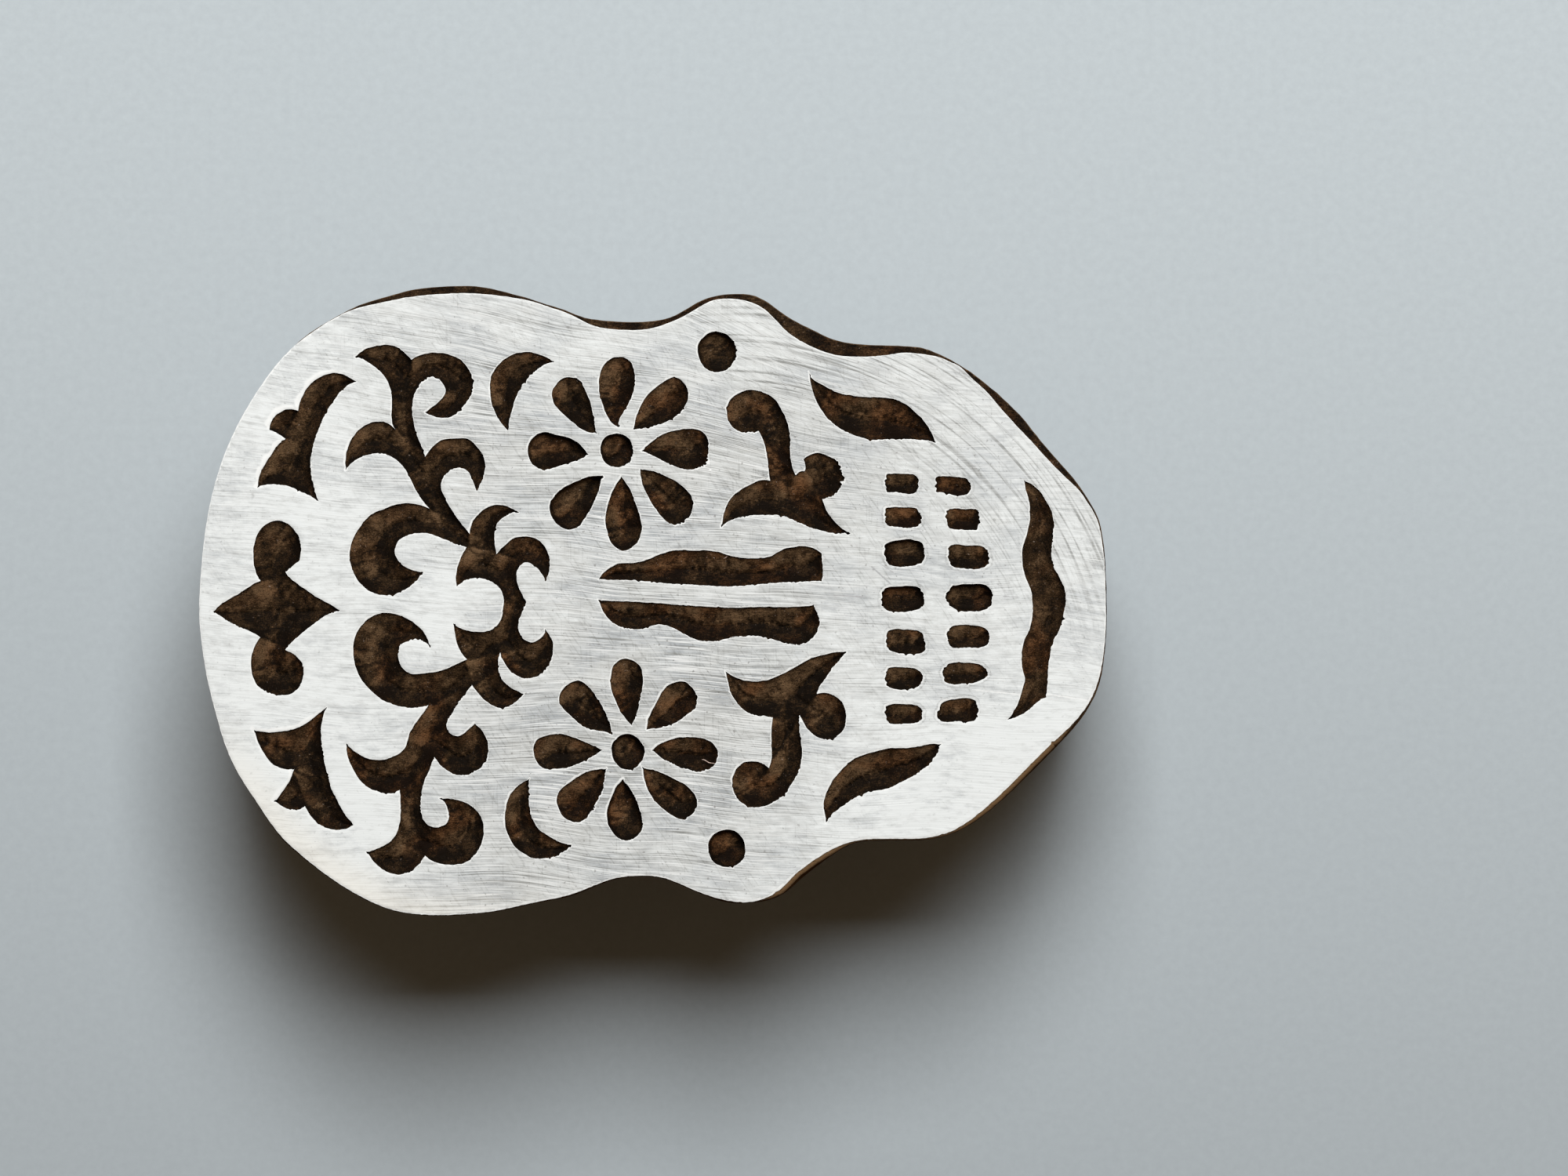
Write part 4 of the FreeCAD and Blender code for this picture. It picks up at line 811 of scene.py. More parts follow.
class Outline:
    """A closed line in the plane, in millimetres, that runs anticlockwise."""

    def __init__(self, points: np.ndarray) -> None:
        """Keep the points and turn them anticlockwise.

        Args:
            points: The corners, one row each.
        """
        after = np.roll(points, -1, axis=0)
        area = float(np.sum(points[:, 0] * after[:, 1] - points[:, 1] * after[:, 0])) / 2
        self.points = points if area > 0 else points[::-1].copy()
        self.area = abs(area)

    def resampled(self, spacing: float, sharp: float = 50.0) -> "Outline":
        """Return the line with even steps, and with its sharp corners kept.

        Args:
            spacing: The length of a step.
            sharp: The turn in degrees from which a corner is kept.

        Returns:
            The new line.
        """
        turn = np.degrees(np.abs(self.turns()))
        corners = [int(i) for i in np.nonzero(turn > sharp)[0]] or [0]
        parts = []
        for first, last in zip(corners, corners[1:] + [corners[0] + len(self.points)]):
            run = self.points[np.arange(first, last + 1) % len(self.points)]
            steps = np.linalg.norm(np.diff(run, axis=0), axis=1)
            way = np.concatenate([[0.0], np.cumsum(steps)])
            count = max(2, int(round(way[-1] / spacing)))
            marks = np.linspace(0.0, way[-1], count + 1)[:-1]
            parts.append(np.column_stack([np.interp(marks, way, run[:, k]) for k in (0, 1)]))
        return Outline(np.concatenate(parts))

    def normals(self) -> np.ndarray:
        """Work out which way is outward.

        Returns:
            The outward direction at each point, of length one.
        """
        tangent = np.roll(self.points, -1, axis=0) - np.roll(self.points, 1, axis=0)
        length = np.maximum(np.linalg.norm(tangent, axis=1), 1e-9)
        return np.column_stack([tangent[:, 1], -tangent[:, 0]]) / length[:, None]

    def turns(self) -> np.ndarray:
        """Measure how sharply the line turns.

        Returns:
            The turn at each point in radians, outward corners positive.
        """
        ahead = np.roll(self.points, -1, axis=0) - self.points
        behind = np.roll(ahead, 1, axis=0)
        cross = behind[:, 0] * ahead[:, 1] - behind[:, 1] * ahead[:, 0]
        return np.arctan2(cross, np.sum(behind * ahead, axis=1))

    def inward_corners(self, window: float = 0.45, least: float = 48.0) -> list[int]:
        """Return the points at which the line turns sharply inward.

        Args:
            window: How far along the line a turn is added up, to both sides.
            least: The smallest turn that counts, in degrees.

        Returns:
            Their numbers.
        """
        count = len(self.points)
        way = self.ways()
        half = max(1, int(round(window / (way[-1] / count))))
        turns = np.degrees(self.turns())
        total = sum(np.roll(turns, k) for k in range(-half, half + 1))
        found: list[int] = []
        for index in np.argsort(total):
            gaps = [min(abs(index - k), count - abs(index - k)) for k in found]
            if total[index] > -least:
                break
            if not gaps or min(gaps) > 3 * half:
                found.append(int(index))
        return found

    def joints(self, most: float = 8.0,
               alone: float = 2.6) -> list[tuple[np.ndarray, np.ndarray]]:
        """Return the creases where one cut runs into another.

        Args:
            most: The greatest length of a crease between two inward corners.
            alone: The length of a crease that starts at a corner without a partner.

        Returns:
            The two ends of each crease.
        """
        corners = self.inward_corners()
        shares = np.array([0.2, 0.5, 0.8])[:, None]
        creases, paired = [], set()
        for first in corners:
            start, best = self.points[first], (most, -1)
            for other in corners:
                run = self.points[other] - start
                length = float(np.linalg.norm(run))
                if other == first or not 1.0 < length < best[0]:
                    continue
                if self.holds(start + run * shares).all():
                    best = (length, other)
            if best[1] < 0:
                creases.append((start, start - self.normals()[first] * alone))
            elif (best[1], first) not in paired:
                paired.add((first, best[1]))
                creases.append((start, self.points[best[1]]))
        return creases

    def is_tooth(self) -> bool:
        """Tell whether the line goes round one of the short cuts between the jaws."""
        span = self.points.max(0) - self.points.min(0)
        return self.area < TOOTH_AREA and bool(span[0] > TOOTH_STRETCH * span[1])

    def moved(self, outward: Union[np.ndarray, float]) -> "Outline":
        """Return the line with each point moved along its outward direction."""
        shift = np.broadcast_to(np.asarray(outward, float), (len(self.points),))
        return Outline(self.points + self.normals() * shift[:, None])

    def ways(self) -> np.ndarray:
        """Return the distance from the first point along the line to each point."""
        steps = np.linalg.norm(np.roll(self.points, -1, axis=0) - self.points, axis=1)
        return np.concatenate([[0.0], np.cumsum(steps)[:-1]])

    def holds(self, spots: np.ndarray) -> np.ndarray:
        """Tell which points lie inside the line.

        Args:
            spots: The points.

        Returns:
            True for each point inside.
        """
        inside = np.zeros(len(spots), bool)
        low, high = self.points.min(0), self.points.max(0)
        near = np.nonzero(np.all((spots >= low) & (spots <= high), axis=1))[0]
        x1, y1 = self.points.T
        x2, y2 = np.roll(self.points, -1, axis=0).T
        for block in np.array_split(near, max(1, len(near) * len(x1) // 2_000_000)):
            px, py = spots[block, 0][:, None], spots[block, 1][:, None]
            spans = (y1 > py) != (y2 > py)
            rise = np.where(np.abs(y2 - y1) < 1e-12, 1e-12, y2 - y1)
            hits = spans & (px < (x2 - x1) * (py - y1) / rise + x1)
            inside[block] = hits.sum(axis=1) % 2 == 1
        return inside

    def reach(self, spots: np.ndarray, heading: tuple[float, float]) -> np.ndarray:
        """Return how far each inner point is from the line in one direction.

        Args:
            spots: Points inside the line.
            heading: The direction, of length one.

        Returns:
            One distance for each point.
        """
        forward = np.array(heading)
        left = np.array([-forward[1], forward[0]])
        u1, v1 = self.points @ forward, self.points @ left
        u2, v2 = np.roll(u1, -1), np.roll(v1, -1)
        u0, v0 = (spots @ forward)[:, None], (spots @ left)[:, None]
        spans = (v1 > v0) != (v2 > v0)
        slope = np.where(np.abs(v2 - v1) < 1e-12, 1e-12, v2 - v1)
        where = u1 + (v0 - v1) * (u2 - u1) / slope - u0
        return np.where(spans & (where > 0), where, FAR).min(axis=1)


def nearest_corner(corners: np.ndarray, spots: np.ndarray) -> np.ndarray:
    """Return the number of the corner that is nearest to each point.

    Args:
        corners: The corners.
        spots: The points.

    Returns:
        One number for each point.
    """
    tree = kdtree.KDTree(len(corners))
    for index, (x, y) in enumerate(corners):
        tree.insert((x, y, 0.0), index)
    tree.balance()
    return np.array([tree.find((x, y, 0.0))[1] for x, y in spots], int)


def nearest_on(outlines: Sequence[Outline], spots: np.ndarray) -> tuple[np.ndarray, np.ndarray]:
    """Find how far points are from a set of lines.

    Args:
        outlines: The lines.
        spots: The points.

    Returns:
        The distance of each point, and the direction from it to the nearest line.
    """
    corners = np.concatenate([line.points for line in outlines])
    found = nearest_corner(corners, spots)
    ahead = np.concatenate([np.roll(line.points, -1, axis=0) for line in outlines])
    behind = np.concatenate([np.roll(line.points, 1, axis=0) for line in outlines])
    best, away = np.full(len(spots), FAR), np.zeros((len(spots), 2))
    for start, end in ((corners[found], ahead[found]), (behind[found], corners[found])):
        run = end - start
        length_squared = np.maximum(np.sum(run * run, axis=1), 1e-12)
        share = np.sum((spots - start) * run, axis=1) / length_squared
        gap = start + run * np.clip(share, 0, 1)[:, None] - spots
        length = np.linalg.norm(gap, axis=1)
        closer = length < best
        best[closer] = length[closer]
        away[closer] = gap[closer]
    return best, away / np.maximum(best, 1e-9)[:, None]


def scatter(low: np.ndarray, high: np.ndarray, spacing: float, seed: int,
            rows: float = 0.87, unevenness: float = 0.22) -> np.ndarray:
    """Return points on an uneven grid over a rectangle.

    Args:
        low: The rectangle's lower corner.
        high: Its upper corner.
        spacing: The grid's step.
        seed: The seed of the unevenness.
        rows: How far apart the rows are, in steps.
        unevenness: How far a point is moved at most, in steps.

    Returns:
        The points.
    """
    rng = np.random.default_rng(seed)
    across = np.arange(low[0], high[0], spacing)
    up = np.arange(low[1], high[1], spacing * rows)
    x, y = np.meshgrid(across, up)
    x = x + (np.arange(len(up)) % 2)[:, None] * spacing / 2
    spots = np.column_stack([x.ravel(), y.ravel()])
    return spots + rng.uniform(-unevenness, unevenness, spots.shape) * spacing


def triangulated(borders: Sequence[Outline], holes: Sequence[Outline],
                 inner: np.ndarray) -> tuple[np.ndarray, np.ndarray]:
    """Fill the region between borders and holes with triangles.

    Args:
        borders: The lines round the region.
        holes: The lines round what is left out.
        inner: Further points inside the region.

    Returns:
        The points and the triangles.
    """
    lines = [*borders, *holes]
    edges, start = [], 0
    for line in lines:
        count = len(line.points)
        edges += [(start + i, start + (i + 1) % count) for i in range(count)]
        start += count
    spots = np.concatenate([*(line.points for line in lines), inner])
    filled = geometry.delaunay_2d_cdt([Vector(p) for p in spots.tolist()], edges, [], 1, 1e-6)
    points = np.array([tuple(p) for p in filled[0]])
    faces = np.array([tuple(f) for f in filled[2]], int)
    centres = points[faces].mean(axis=1)
    keep = np.ones(len(faces), bool)
    for hole in holes:
        keep &= ~hole.holds(centres)
    return points, faces[keep]


class MeshPart:
    """Points, faces and painted numbers that grow into one mesh."""

    def __init__(self, paints: Sequence[str]) -> None:
        """Start empty.

        Args:
            paints: Names of the numbers that each point carries.
        """
        self.paints = list(paints)
        self.points: list[np.ndarray] = []
        self.faces: list[np.ndarray] = []
        self.values: dict[str, list[np.ndarray]] = {name: [] for name in paints}
        self.count = 0

    def add(self, points: np.ndarray, faces: np.ndarray,
            **values: Union[np.ndarray, float]) -> None:
        """Add points and faces.

        Args:
            points: Places in millimetres.
            faces: Rows of point numbers, three or four in each.
            values: The painted numbers, zero where one is left out.
        """
        self.points.append(points)
        self.faces.append(np.asarray(faces, int) + self.count)
        for name in self.paints:
            given = np.asarray(values.get(name, 0.0), float)
            self.values[name].append(np.broadcast_to(given, (len(points),)).copy())
        self.count += len(points)

    def add_wall(self, rings: Sequence[np.ndarray], inward: bool = False,
                 **values: Union[np.ndarray, float]) -> None:
        """Add a closed wall between rings of equal length, from the top ring down.

        Args:
            rings: Each ring's places, anticlockwise.
            inward: Whether the wall faces the inside of the rings.
            values: Painted numbers for all rings one after another.
        """
        size = len(rings[0])
        step = np.arange(size)
        after = (step + 1) % size
        rows = []
        for level in range(len(rings) - 1):
            top, low = level * size, (level + 1) * size
            row = np.column_stack([top + step, low + step, low + after, top + after])
            rows.append(row[:, ::-1] if inward else row)
        self.add(np.concatenate(rings), np.concatenate(rows), **values)

    def build(self, name: str, material: bpy.types.Material) -> bpy.types.Object:
        """Make the object.

        Args:
            name: Its name.
            material: Its material.

        Returns:
            The object, linked to the scene.
        """
        mesh = bpy.data.meshes.new(name)
        points = np.concatenate(self.points) * MM
        faces = [row for block in self.faces for row in block.tolist()]
        mesh.from_pydata(points.tolist(), [], faces)
        for paint in self.paints:
            layer = mesh.attributes.new(paint, "FLOAT", "POINT")
            layer.data.foreach_set("value", np.concatenate(self.values[paint]).astype(np.float32))
        mesh.shade_smooth()
        mesh.materials.append(material)
        made = bpy.data.objects.new(name, mesh)
        bpy.context.scene.collection.objects.link(made)
        return made


def lifted(flat: np.ndarray, height: Union[np.ndarray, float]) -> np.ndarray:
    """Return plane points with a height."""
    return np.column_stack([flat, np.broadcast_to(np.asarray(height, float), (len(flat),))])


class PackedShape:
    """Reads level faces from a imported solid."""

    LEVEL: float = 0.004
    WELD: float = 0.0005

    def __init__(self, node: bpy.types.Object) -> None:
        """Read the mesh.

        Args:
            node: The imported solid's object.
        """
        mesh = node.data
        mesh.calc_loop_triangles()
        places = np.zeros(len(mesh.vertices) * 3)
        mesh.vertices.foreach_get("co", places)
        self.places = places.reshape(-1, 3) / MM
        corners = np.zeros(len(mesh.loop_triangles) * 3, np.int32)
        mesh.loop_triangles.foreach_get("vertices", corners)
        self.triangles = corners.reshape(-1, 3)

    def outlines(self, height: float) -> list[Outline]:
        """Return the lines round the level face at a height, the largest first.

        Args:
            height: The face's height.

        Returns:
            The closed lines.
        """
        off = np.abs(self.places[self.triangles][:, :, 2] - height)
        level = np.all(off < self.LEVEL, axis=1)
        cells = np.round(self.places[:, :2] / self.WELD).astype(int)
        _, index, merged = np.unique(cells, axis=0, return_index=True, return_inverse=True)
        merged = merged.reshape(-1)
        faces = merged[self.triangles[level]]
        sides = np.concatenate([faces[:, [0, 1]], faces[:, [1, 2]], faces[:, [2, 0]]])
        known = set(map(tuple, sides.tolist()))
        after = {a: b for a, b in known if (b, a) not in known and a != b}
        lines = []
        while after:
            first = next(iter(after))
            chain, spot = [first], after.pop(first)
            while spot != first and spot in after:
                chain.append(spot)
                spot = after.pop(spot)
            if len(chain) > 2:
                lines.append(Outline(self.places[index[chain], :2]))
        return sorted(lines, key=lambda line: -line.area)


@dataclass(frozen=True)
class RoughSpot:
    """A small damaged spot on the printing face."""

    x: float
    y: float
    size: float

    def apart(self, points: np.ndarray) -> np.ndarray:
        """Return how far points are from the spot's middle."""
        return np.hypot(points[:, 0] - self.x, points[:, 1] - self.y)


@dataclass
class Carving:
    """The outlines that the face is built from, with the slips of the hand that cut them."""

    coat: PackedShape
    sawn: PackedShape
    face_height: float = 50.25
    wood_height: float = 50.0
    ledge_height: float = 46.4
    seam_height: float = 37.0
    step: float = 0.13
    face_step: float = 0.3
    body_step: float = 0.4
    wave: float = 0.036
    wave_length: float = 0.62
    fine: float = 0.026
    fine_length: float = 0.24
    fray: float = 0.085
    fray_length: float = 0.19
    torn_length: float = 1.9
    tooth_fray: float = 0.14
    tooth_corner: float = 0.15
    flake_fray: float = 0.24
    flake_reach: float = 2.6
    nick_depth: float = 0.19
    nicks_per_mm: float = 0.50
    nick_width: Range = (0.07, 0.19)
    outer_nicks: float = 0.12
    spur: float = 0.30
    spur_width: float = 0.11
    spur_turn: float = 48.0
    seed: int = 7
    face: Outline = field(init=False)
    body: Outline = field(init=False)
    recesses: list[Outline] = field(init=False)
    joints: list[list[tuple[np.ndarray, np.ndarray]]] = field(init=False)
    flakes: tuple[RoughSpot, ...] = (
        RoughSpot(6.95, 17.5, 0.42),
        RoughSpot(7.2, 16.6, 0.30),
        RoughSpot(3.7, 10.6, 0.36),
        RoughSpot(23.5, 16.5, 0.50),
        RoughSpot(24.1, 15.3, 0.34),
        RoughSpot(22.2, 13.9, 0.30),
        RoughSpot(-13.3, 22.6, 0.30),
        RoughSpot(14.9, -31.0, 0.30),
    )

    def __post_init__(self) -> None:
        """Read and roughen the outlines."""
        lines = self.coat.outlines(self.face_height)
        self.face = self._worked(lines[0].resampled(self.face_step), 0, outer=True)
        recesses = [line.resampled(self.step) for line in lines[1:]]
        self.joints = [line.joints() for line in recesses]
        self.recesses = [self._worked(line, 1 + i) for i, line in enumerate(recesses)]
        self.body = self.sawn.outlines(self.seam_height)[0].resampled(self.body_step)
        LOG.info("read %d recess outlines with %d points", len(recesses),
                 sum(len(line.points) for line in self.recesses))

    def _worked(self, line: Outline, number: int, outer: bool = False) -> Outline:
        """Return a line with the waves, nicks and spurs of hand cutting.

        Args:
            line: The line.
            number: Its number, which picks its share of the noise.
            outer: Whether it is the face's outer edge, where all slips stay on the inside.

        Returns:
            The roughened line.
        """
        rng = np.random.default_rng(self.seed * 1000 + number)
        noise = Ripple(self.seed + number)
        way = line.ways()
        lean = line.normals() @ ROUGH_SIDE
        rough = 0.45 + 1.05 * smooth_rise(lean, -0.1, 0.8)
        shift = self.wave * noise.at(way / self.wave_length, 3)
        shift = shift + self.fine * noise.at(way / self.fine_length, 9) * rough
        for flake in self.flakes:
            near = np.exp(-(flake.apart(line.points) / (flake.size * self.flake_reach)) ** 2)
            ragged = noise.at(way / 0.17, 31) + 0.6 * noise.at(way / 0.33, 33)
            shift += self.flake_fray * near * ragged
        nicks = self.nicks_per_mm * (self.outer_nicks if outer else 1.0)
        for spot in rng.uniform(0, way[-1], int(way[-1] * nicks)):
            width, depth = rng.uniform(*self.nick_width), rng.uniform(-0.5, 1.0)
            depth = math.copysign(abs(depth) ** 1.8, depth)
            shift += self.nick_depth * depth * rough * np.exp(-((way - spot) / width) ** 2)
        if not outer and line.is_tooth():
            shift = self._tooth_ends(line, shift, noise)
        elif not outer:
            torn = smooth_rise(noise.at(way / self.torn_length, 17), 0.10, 0.50)
            torn = torn * smooth_rise(lean, 0.0, 0.6)
            shift += self.fray * torn * (noise.at(way / self.fray_length, 27) + 0.35)
        for spot in way[line.turns() > math.radians(self.spur_turn)]:
            reach = self.spur * rng.uniform(0.1, 1.0)
            middle = way - spot - rng.uniform(-0.06, 0.06)
            shift += reach * np.exp(-(middle / self.spur_width) ** 2)
        return line.moved(-np.abs(shift) if outer else shift)

    def _tooth_ends(self, line: Outline, shift: np.ndarray, noise: Ripple) -> np.ndarray:
        """Make a cut between the jaws squarer and more torn at its ends.

        The upper row gets more of it than the lower one.

        Args:
            line: The cut's line.
            shift: How far its points are moved outward so far.
            noise: The line's noise.

        Returns:
            How far the points are moved with this.
        """
        way, normals = line.ways(), line.normals()
        square = 0.3 + 0.7 * float(smooth_rise(line.points.mean(axis=0)[1], 6.0, 12.0))
        corner = smooth_rise(2 * np.abs(normals[:, 0] * normals[:, 1]), 0.45, 1.0)
        ends = smooth_rise(np.abs(normals[:, 0]), 0.45, 0.95) * (0.7 + 0.5 * square)
        shift = shift + self.tooth_corner * square * corner
        shift = shift + self.tooth_fray * ends * noise.at(way / 0.34, 21)
        return shift + self.tooth_fray * 0.55 * ends * noise.at(way / 0.17, 23)


@dataclass
class PaintedLightAndShade:
    """Painted light and shade on the cut wood, lit from one side; the end cut is painted even."""

    # heading and climb aim the painted light; still is the tone painted in full shade.
    heading: tuple[float, float] = (0.62, -0.785)
    climb: float = 0.95
    still: float = 0.08
    facing: float = 0.575
    turned_away: float = 0.50
    full_on: float = 0.98
    brink: Range = (-0.55, 0.45)
    left_cuts: Range = (8.0, 30.0)
    left_loss: float = 0.10
    end_cut: Range = (44.0, 50.0)
    even_tone: float = 0.42
    even_share: float = 0.65

    def tone(self, line: Outline, flat: np.ndarray, depth: np.ndarray,
             slopes: np.ndarray) -> np.ndarray:
        """Return the painted light and shade of the cut wood at each point.

        Args:
            line: The outline of the recess.
            flat: The points.
            depth: How deep each lies under the face.
            slopes: The surface's upward normals.

        Returns:
            A tone from 0 to about 1 for each point.
        """
        length = math.sqrt(1 + self.climb ** 2)
        toward = np.array([self.heading[0], self.heading[1], self.climb]) / length
        facing = np.clip(slopes @ toward, 0.0, 1.0)
        # room: painted shadow where the recess wall towards the heading would hide the light.
        room = line.reach(flat, self.heading) * self.climb - depth
        lit = smooth_rise(facing, self.turned_away, self.full_on) * smooth_rise(room, *self.brink)
        middle = line.points.mean(axis=0)[0]
        tone = self.still + self.facing * lit
        tone = tone * (1 - self.left_loss * float(smooth_rise(-middle, *self.left_cuts)))
        even = self.even_share * float(smooth_rise(middle, *self.end_cut))
        return tone * (1 - even) + self.even_tone * even


@dataclass(frozen=True)
class WearPatch:
    """A soft oval where the white is worn thin, or is thicker where the amount is negative."""

    x: float
    y: float
    wide: float
    tall: float
    amount: float

    def at(self, x: np.ndarray, y: np.ndarray) -> np.ndarray:
        """Return how much wear it adds at points."""
        reach = -((x - self.x) / self.wide) ** 2 - ((y - self.y) / self.tall) ** 2
        return self.amount * np.exp(reach)


@dataclass
class WhiteGround:
    """The white layer on the printing face, thick at the rims, worn thin in the middle."""

    carving: Carving
    finish: ChalkGround = field(default_factory=ChalkGround)
    plateau: float = 50.205
    unevenness: float = 0.012
    lip: float = 0.042
    lip_place: float = 0.2
    lip_reach: float = 0.17
    edge_drop: float = 0.075
    edge_reach: float = 0.055
    chip_depth: float = 0.15
    near_step: float = 0.28
    near_gap: float = 0.14
    near_band: float = 1.25
    wide_step: float = 1.3
    rim_width: float = 0.07
    rough_rim: float = 0.18
    left_rim: float = 0.50
    low_rim: float = 0.06
    rim_waver: float = 0.55
    left_side: Range = (37.0, 45.0)
    left_rows: Range = (12.0, 17.0)
    low_side: Range = (0.0, 34.0)
    arc_radii: Range = (35.0, 44.0)
    arc_start: Range = (6.0, 36.0)
    arc_end: Range = (78.0, 104.0)
    cream: float = 0.6
    cream_left: Range = (5.0, 40.0)
    cream_low: Range = (10.0, 30.0)
    cream_edge: Range = (0.3, 5.0)
    upper_slant: float = 0.14
    upper_start: float = -30.0
    upper_rows: Range = (14.0, 34.0)
    right_slant: float = 0.27
    right_start: float = 4.0
    right_width: float = 36.0
    right_rows: Range = (2.0, 32.0)
    calm: WearPatch = WearPatch(36.0, 8.0, 11.0, 15.0, 1.0)
    wear: float = 0.37
    halo_reach: float = 3.0
    skirt_drop: float = 0.072
    drip: float = 0.34
    tuck: float = 0.03
    seed: int = 21
    patches: tuple[WearPatch, ...] = (
        WearPatch(-15.0, -22.0, 17.0, 26.0, 0.42),
        WearPatch(10.0, -10.0, 17.0, 24.0, 0.36),
        WearPatch(8.0, -20.0, 10.0, 13.0, 0.16),
        WearPatch(9.0, 5.0, 8.0, 4.5, -0.26),
        WearPatch(2.0, 18.0, 20.0, 14.0, 0.20),
        WearPatch(20.0, 19.0, 16.0, 11.0, 0.26),
        WearPatch(-24.0, 20.0, 12.0, 12.0, 0.32),
        WearPatch(-35.0, 14.0, 8.0, 8.0, -0.16),
        WearPatch(-35.0, -16.0, 8.0, 9.0, -0.16),
        WearPatch(-36.0, -28.0, 9.0, 9.0, -0.12),
        WearPatch(54.0, -6.0, 9.0, 14.0, -0.16),
        WearPatch(-48.0, 0.0, 12.0, 34.0, -0.28),
        WearPatch(-46.0, -30.0, 16.0, 14.0, -0.36),
        WearPatch(38.0, -26.0, 20.0, 14.0, -0.50),
        WearPatch(34.0, 4.0, 16.0, 14.0, 0.08),
        WearPatch(-26.0, -1.0, 9.0, 9.0, -0.40),
        WearPatch(20.0, -2.0, 10.0, 8.0, -0.12),
        WearPatch(55.9, 4.9, 1.0, 0.8, 0.55),
    )
    chips: tuple[RoughSpot, ...] = (
        RoughSpot(-24.8, 24.2, 0.34),
        RoughSpot(-50.6, 13.3, 0.20),
        RoughSpot(55.1, -7.1, 0.16),
    )

    def build(self) -> bpy.types.Object:
        """Build the layer.

        Returns:
            Its object.
        """
        carving = self.carving
        lines = [carving.face, *carving.recesses]
        flat, faces = triangulated([carving.face], carving.recesses, self._inner_points(lines))
        gap, away = nearest_on(lines, flat)
        gap = np.where(gap < 1e-4, 0.0, gap)
        noise = Ripple(self.seed)
        paint = self._paint(flat, gap, away, noise)
        height = self.plateau + self.unevenness * noise.at(flat[:, 0] / 2.1, flat[:, 1] / 0.6)
        raised = np.clip(paint["lip"] / 0.3, 0.3, 1.0)
        height += self.lip * raised * np.exp(-((gap - self.lip_place) / self.lip_reach) ** 2)
        height -= self.edge_drop * np.exp(-gap / self.edge_reach) + self.chip_depth * paint["chip"]
        height = np.minimum(height, carving.face_height)
        part = MeshPart(list(paint))
        part.add(lifted(flat, height), faces, **paint)
        for index, line in enumerate(lines):
            self._skirt(part, line, index, noise)
        made = part.build("white_ground_layer", self.finish.material())
        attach(made, "root")
        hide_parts("ground_coat")
        LOG.info("white ground: %d faces", len(made.data.polygons))
        return made

    def _inner_points(self, lines: Sequence[Outline]) -> np.ndarray:
        """Return the points of the layer's top, close together near the rims.

        Args:
            lines: The face's outer edge and the recesses.

        Returns:
            The points.
        """
        low, high = self.carving.face.points.min(0), self.carving.face.points.max(0)
        near = scatter(low, high, self.near_step, self.seed)
        wide = scatter(low, high, self.wide_step, self.seed + 1)
        bands = ((near, self.near_gap, self.near_band), (wide, self.near_band, FAR))
        chosen = []
        for spots, least, most in bands:
            gap, _ = nearest_on(lines, spots)
            spots = spots[(gap > least) & (gap <= most)]
            keep = self.carving.face.holds(spots)
            for line in self.carving.recesses:
                keep &= ~line.holds(spots)
            chosen.append(spots[keep])
        return np.concatenate(chosen)

    def _paint(self, flat: np.ndarray, gap: np.ndarray, away: np.ndarray,
               noise: Ripple) -> dict[str, np.ndarray]:
        """Work out the numbers that the finish reads.

        Args:
            flat: The points.
            gap: Their distance from the nearest edge.
            away: The direction to that edge.
            noise: The noise that breaks up the borders.

        Returns:
            The painted numbers by name.
        """
        x, y = flat.T
        worn = np.full(len(flat), self.wear)
        for patch in self.patches:
            worn += patch.at(x, y)
        chip, flake = np.zeros(len(flat)), np.zeros(len(flat))
        for spot in self.chips:
            apart = spot.apart(flat)
            chip = np.maximum(chip, 1.0 - smooth_rise(apart, spot.size * 0.5, spot.size))
        for spot in self.carving.flakes:
            apart = spot.apart(flat) * (1 + 0.5 * noise.at(x / 0.22, y / 0.22))
            flake = np.maximum(flake, 1.0 - smooth_rise(apart, spot.size * 0.3, spot.size))
        outer, _ = nearest_on([self.carving.face], flat)
        cream = smooth_rise(-x, *self.cream_left) * smooth_rise(-y, *self.cream_low)
        cream *= 1.0 - smooth_rise(outer, *self.cream_edge)
        teeth = [line for line in self.carving.recesses if line.is_tooth()]
        halo, _ = nearest_on(teeth, flat)
        return {
            "gap": gap,
            "lip": self._rim_widths(flat, away, noise),
            "flake": flake,
            "worn": np.clip(worn, 0, 1),
            "arcs": self._arcs(x, y),
            "chip": chip,
            "cream": cream * self.cream,
            "tilt": self._tilt(x, y),
            "calm": self.calm.at(x, y),
            "halo": np.clip(halo, 0.0, self.halo_reach),
        }

    def _rim_widths(self, flat: np.ndarray, away: np.ndarray, noise: Ripple) -> np.ndarray:
        """Return how wide the thick rim is next to each point.

        Args:
            flat: The points.
            away: The direction to the nearest edge.
            noise: The noise that makes it uneven.

        Returns:
            The widths.
        """
        x, y = flat.T
        at_left = smooth_rise(-x, *self.left_side) * smooth_rise(np.abs(y), *self.left_rows)
        at_low = smooth_rise(-y, *self.low_side)
        left = self.left_rim * at_left * (1.0 - 0.4 * at_low)
        # The rim is widest on lips facing ROUGH_SIDE, where it is partly a painted highlight.
        side = np.clip(away @ ROUGH_SIDE, 0, 1) * (self.rough_rim + left + self.low_rim * at_low)
        return (self.rim_width + side) * (1.0 + self.rim_waver * noise.at(x / 0.9, y / 0.9))

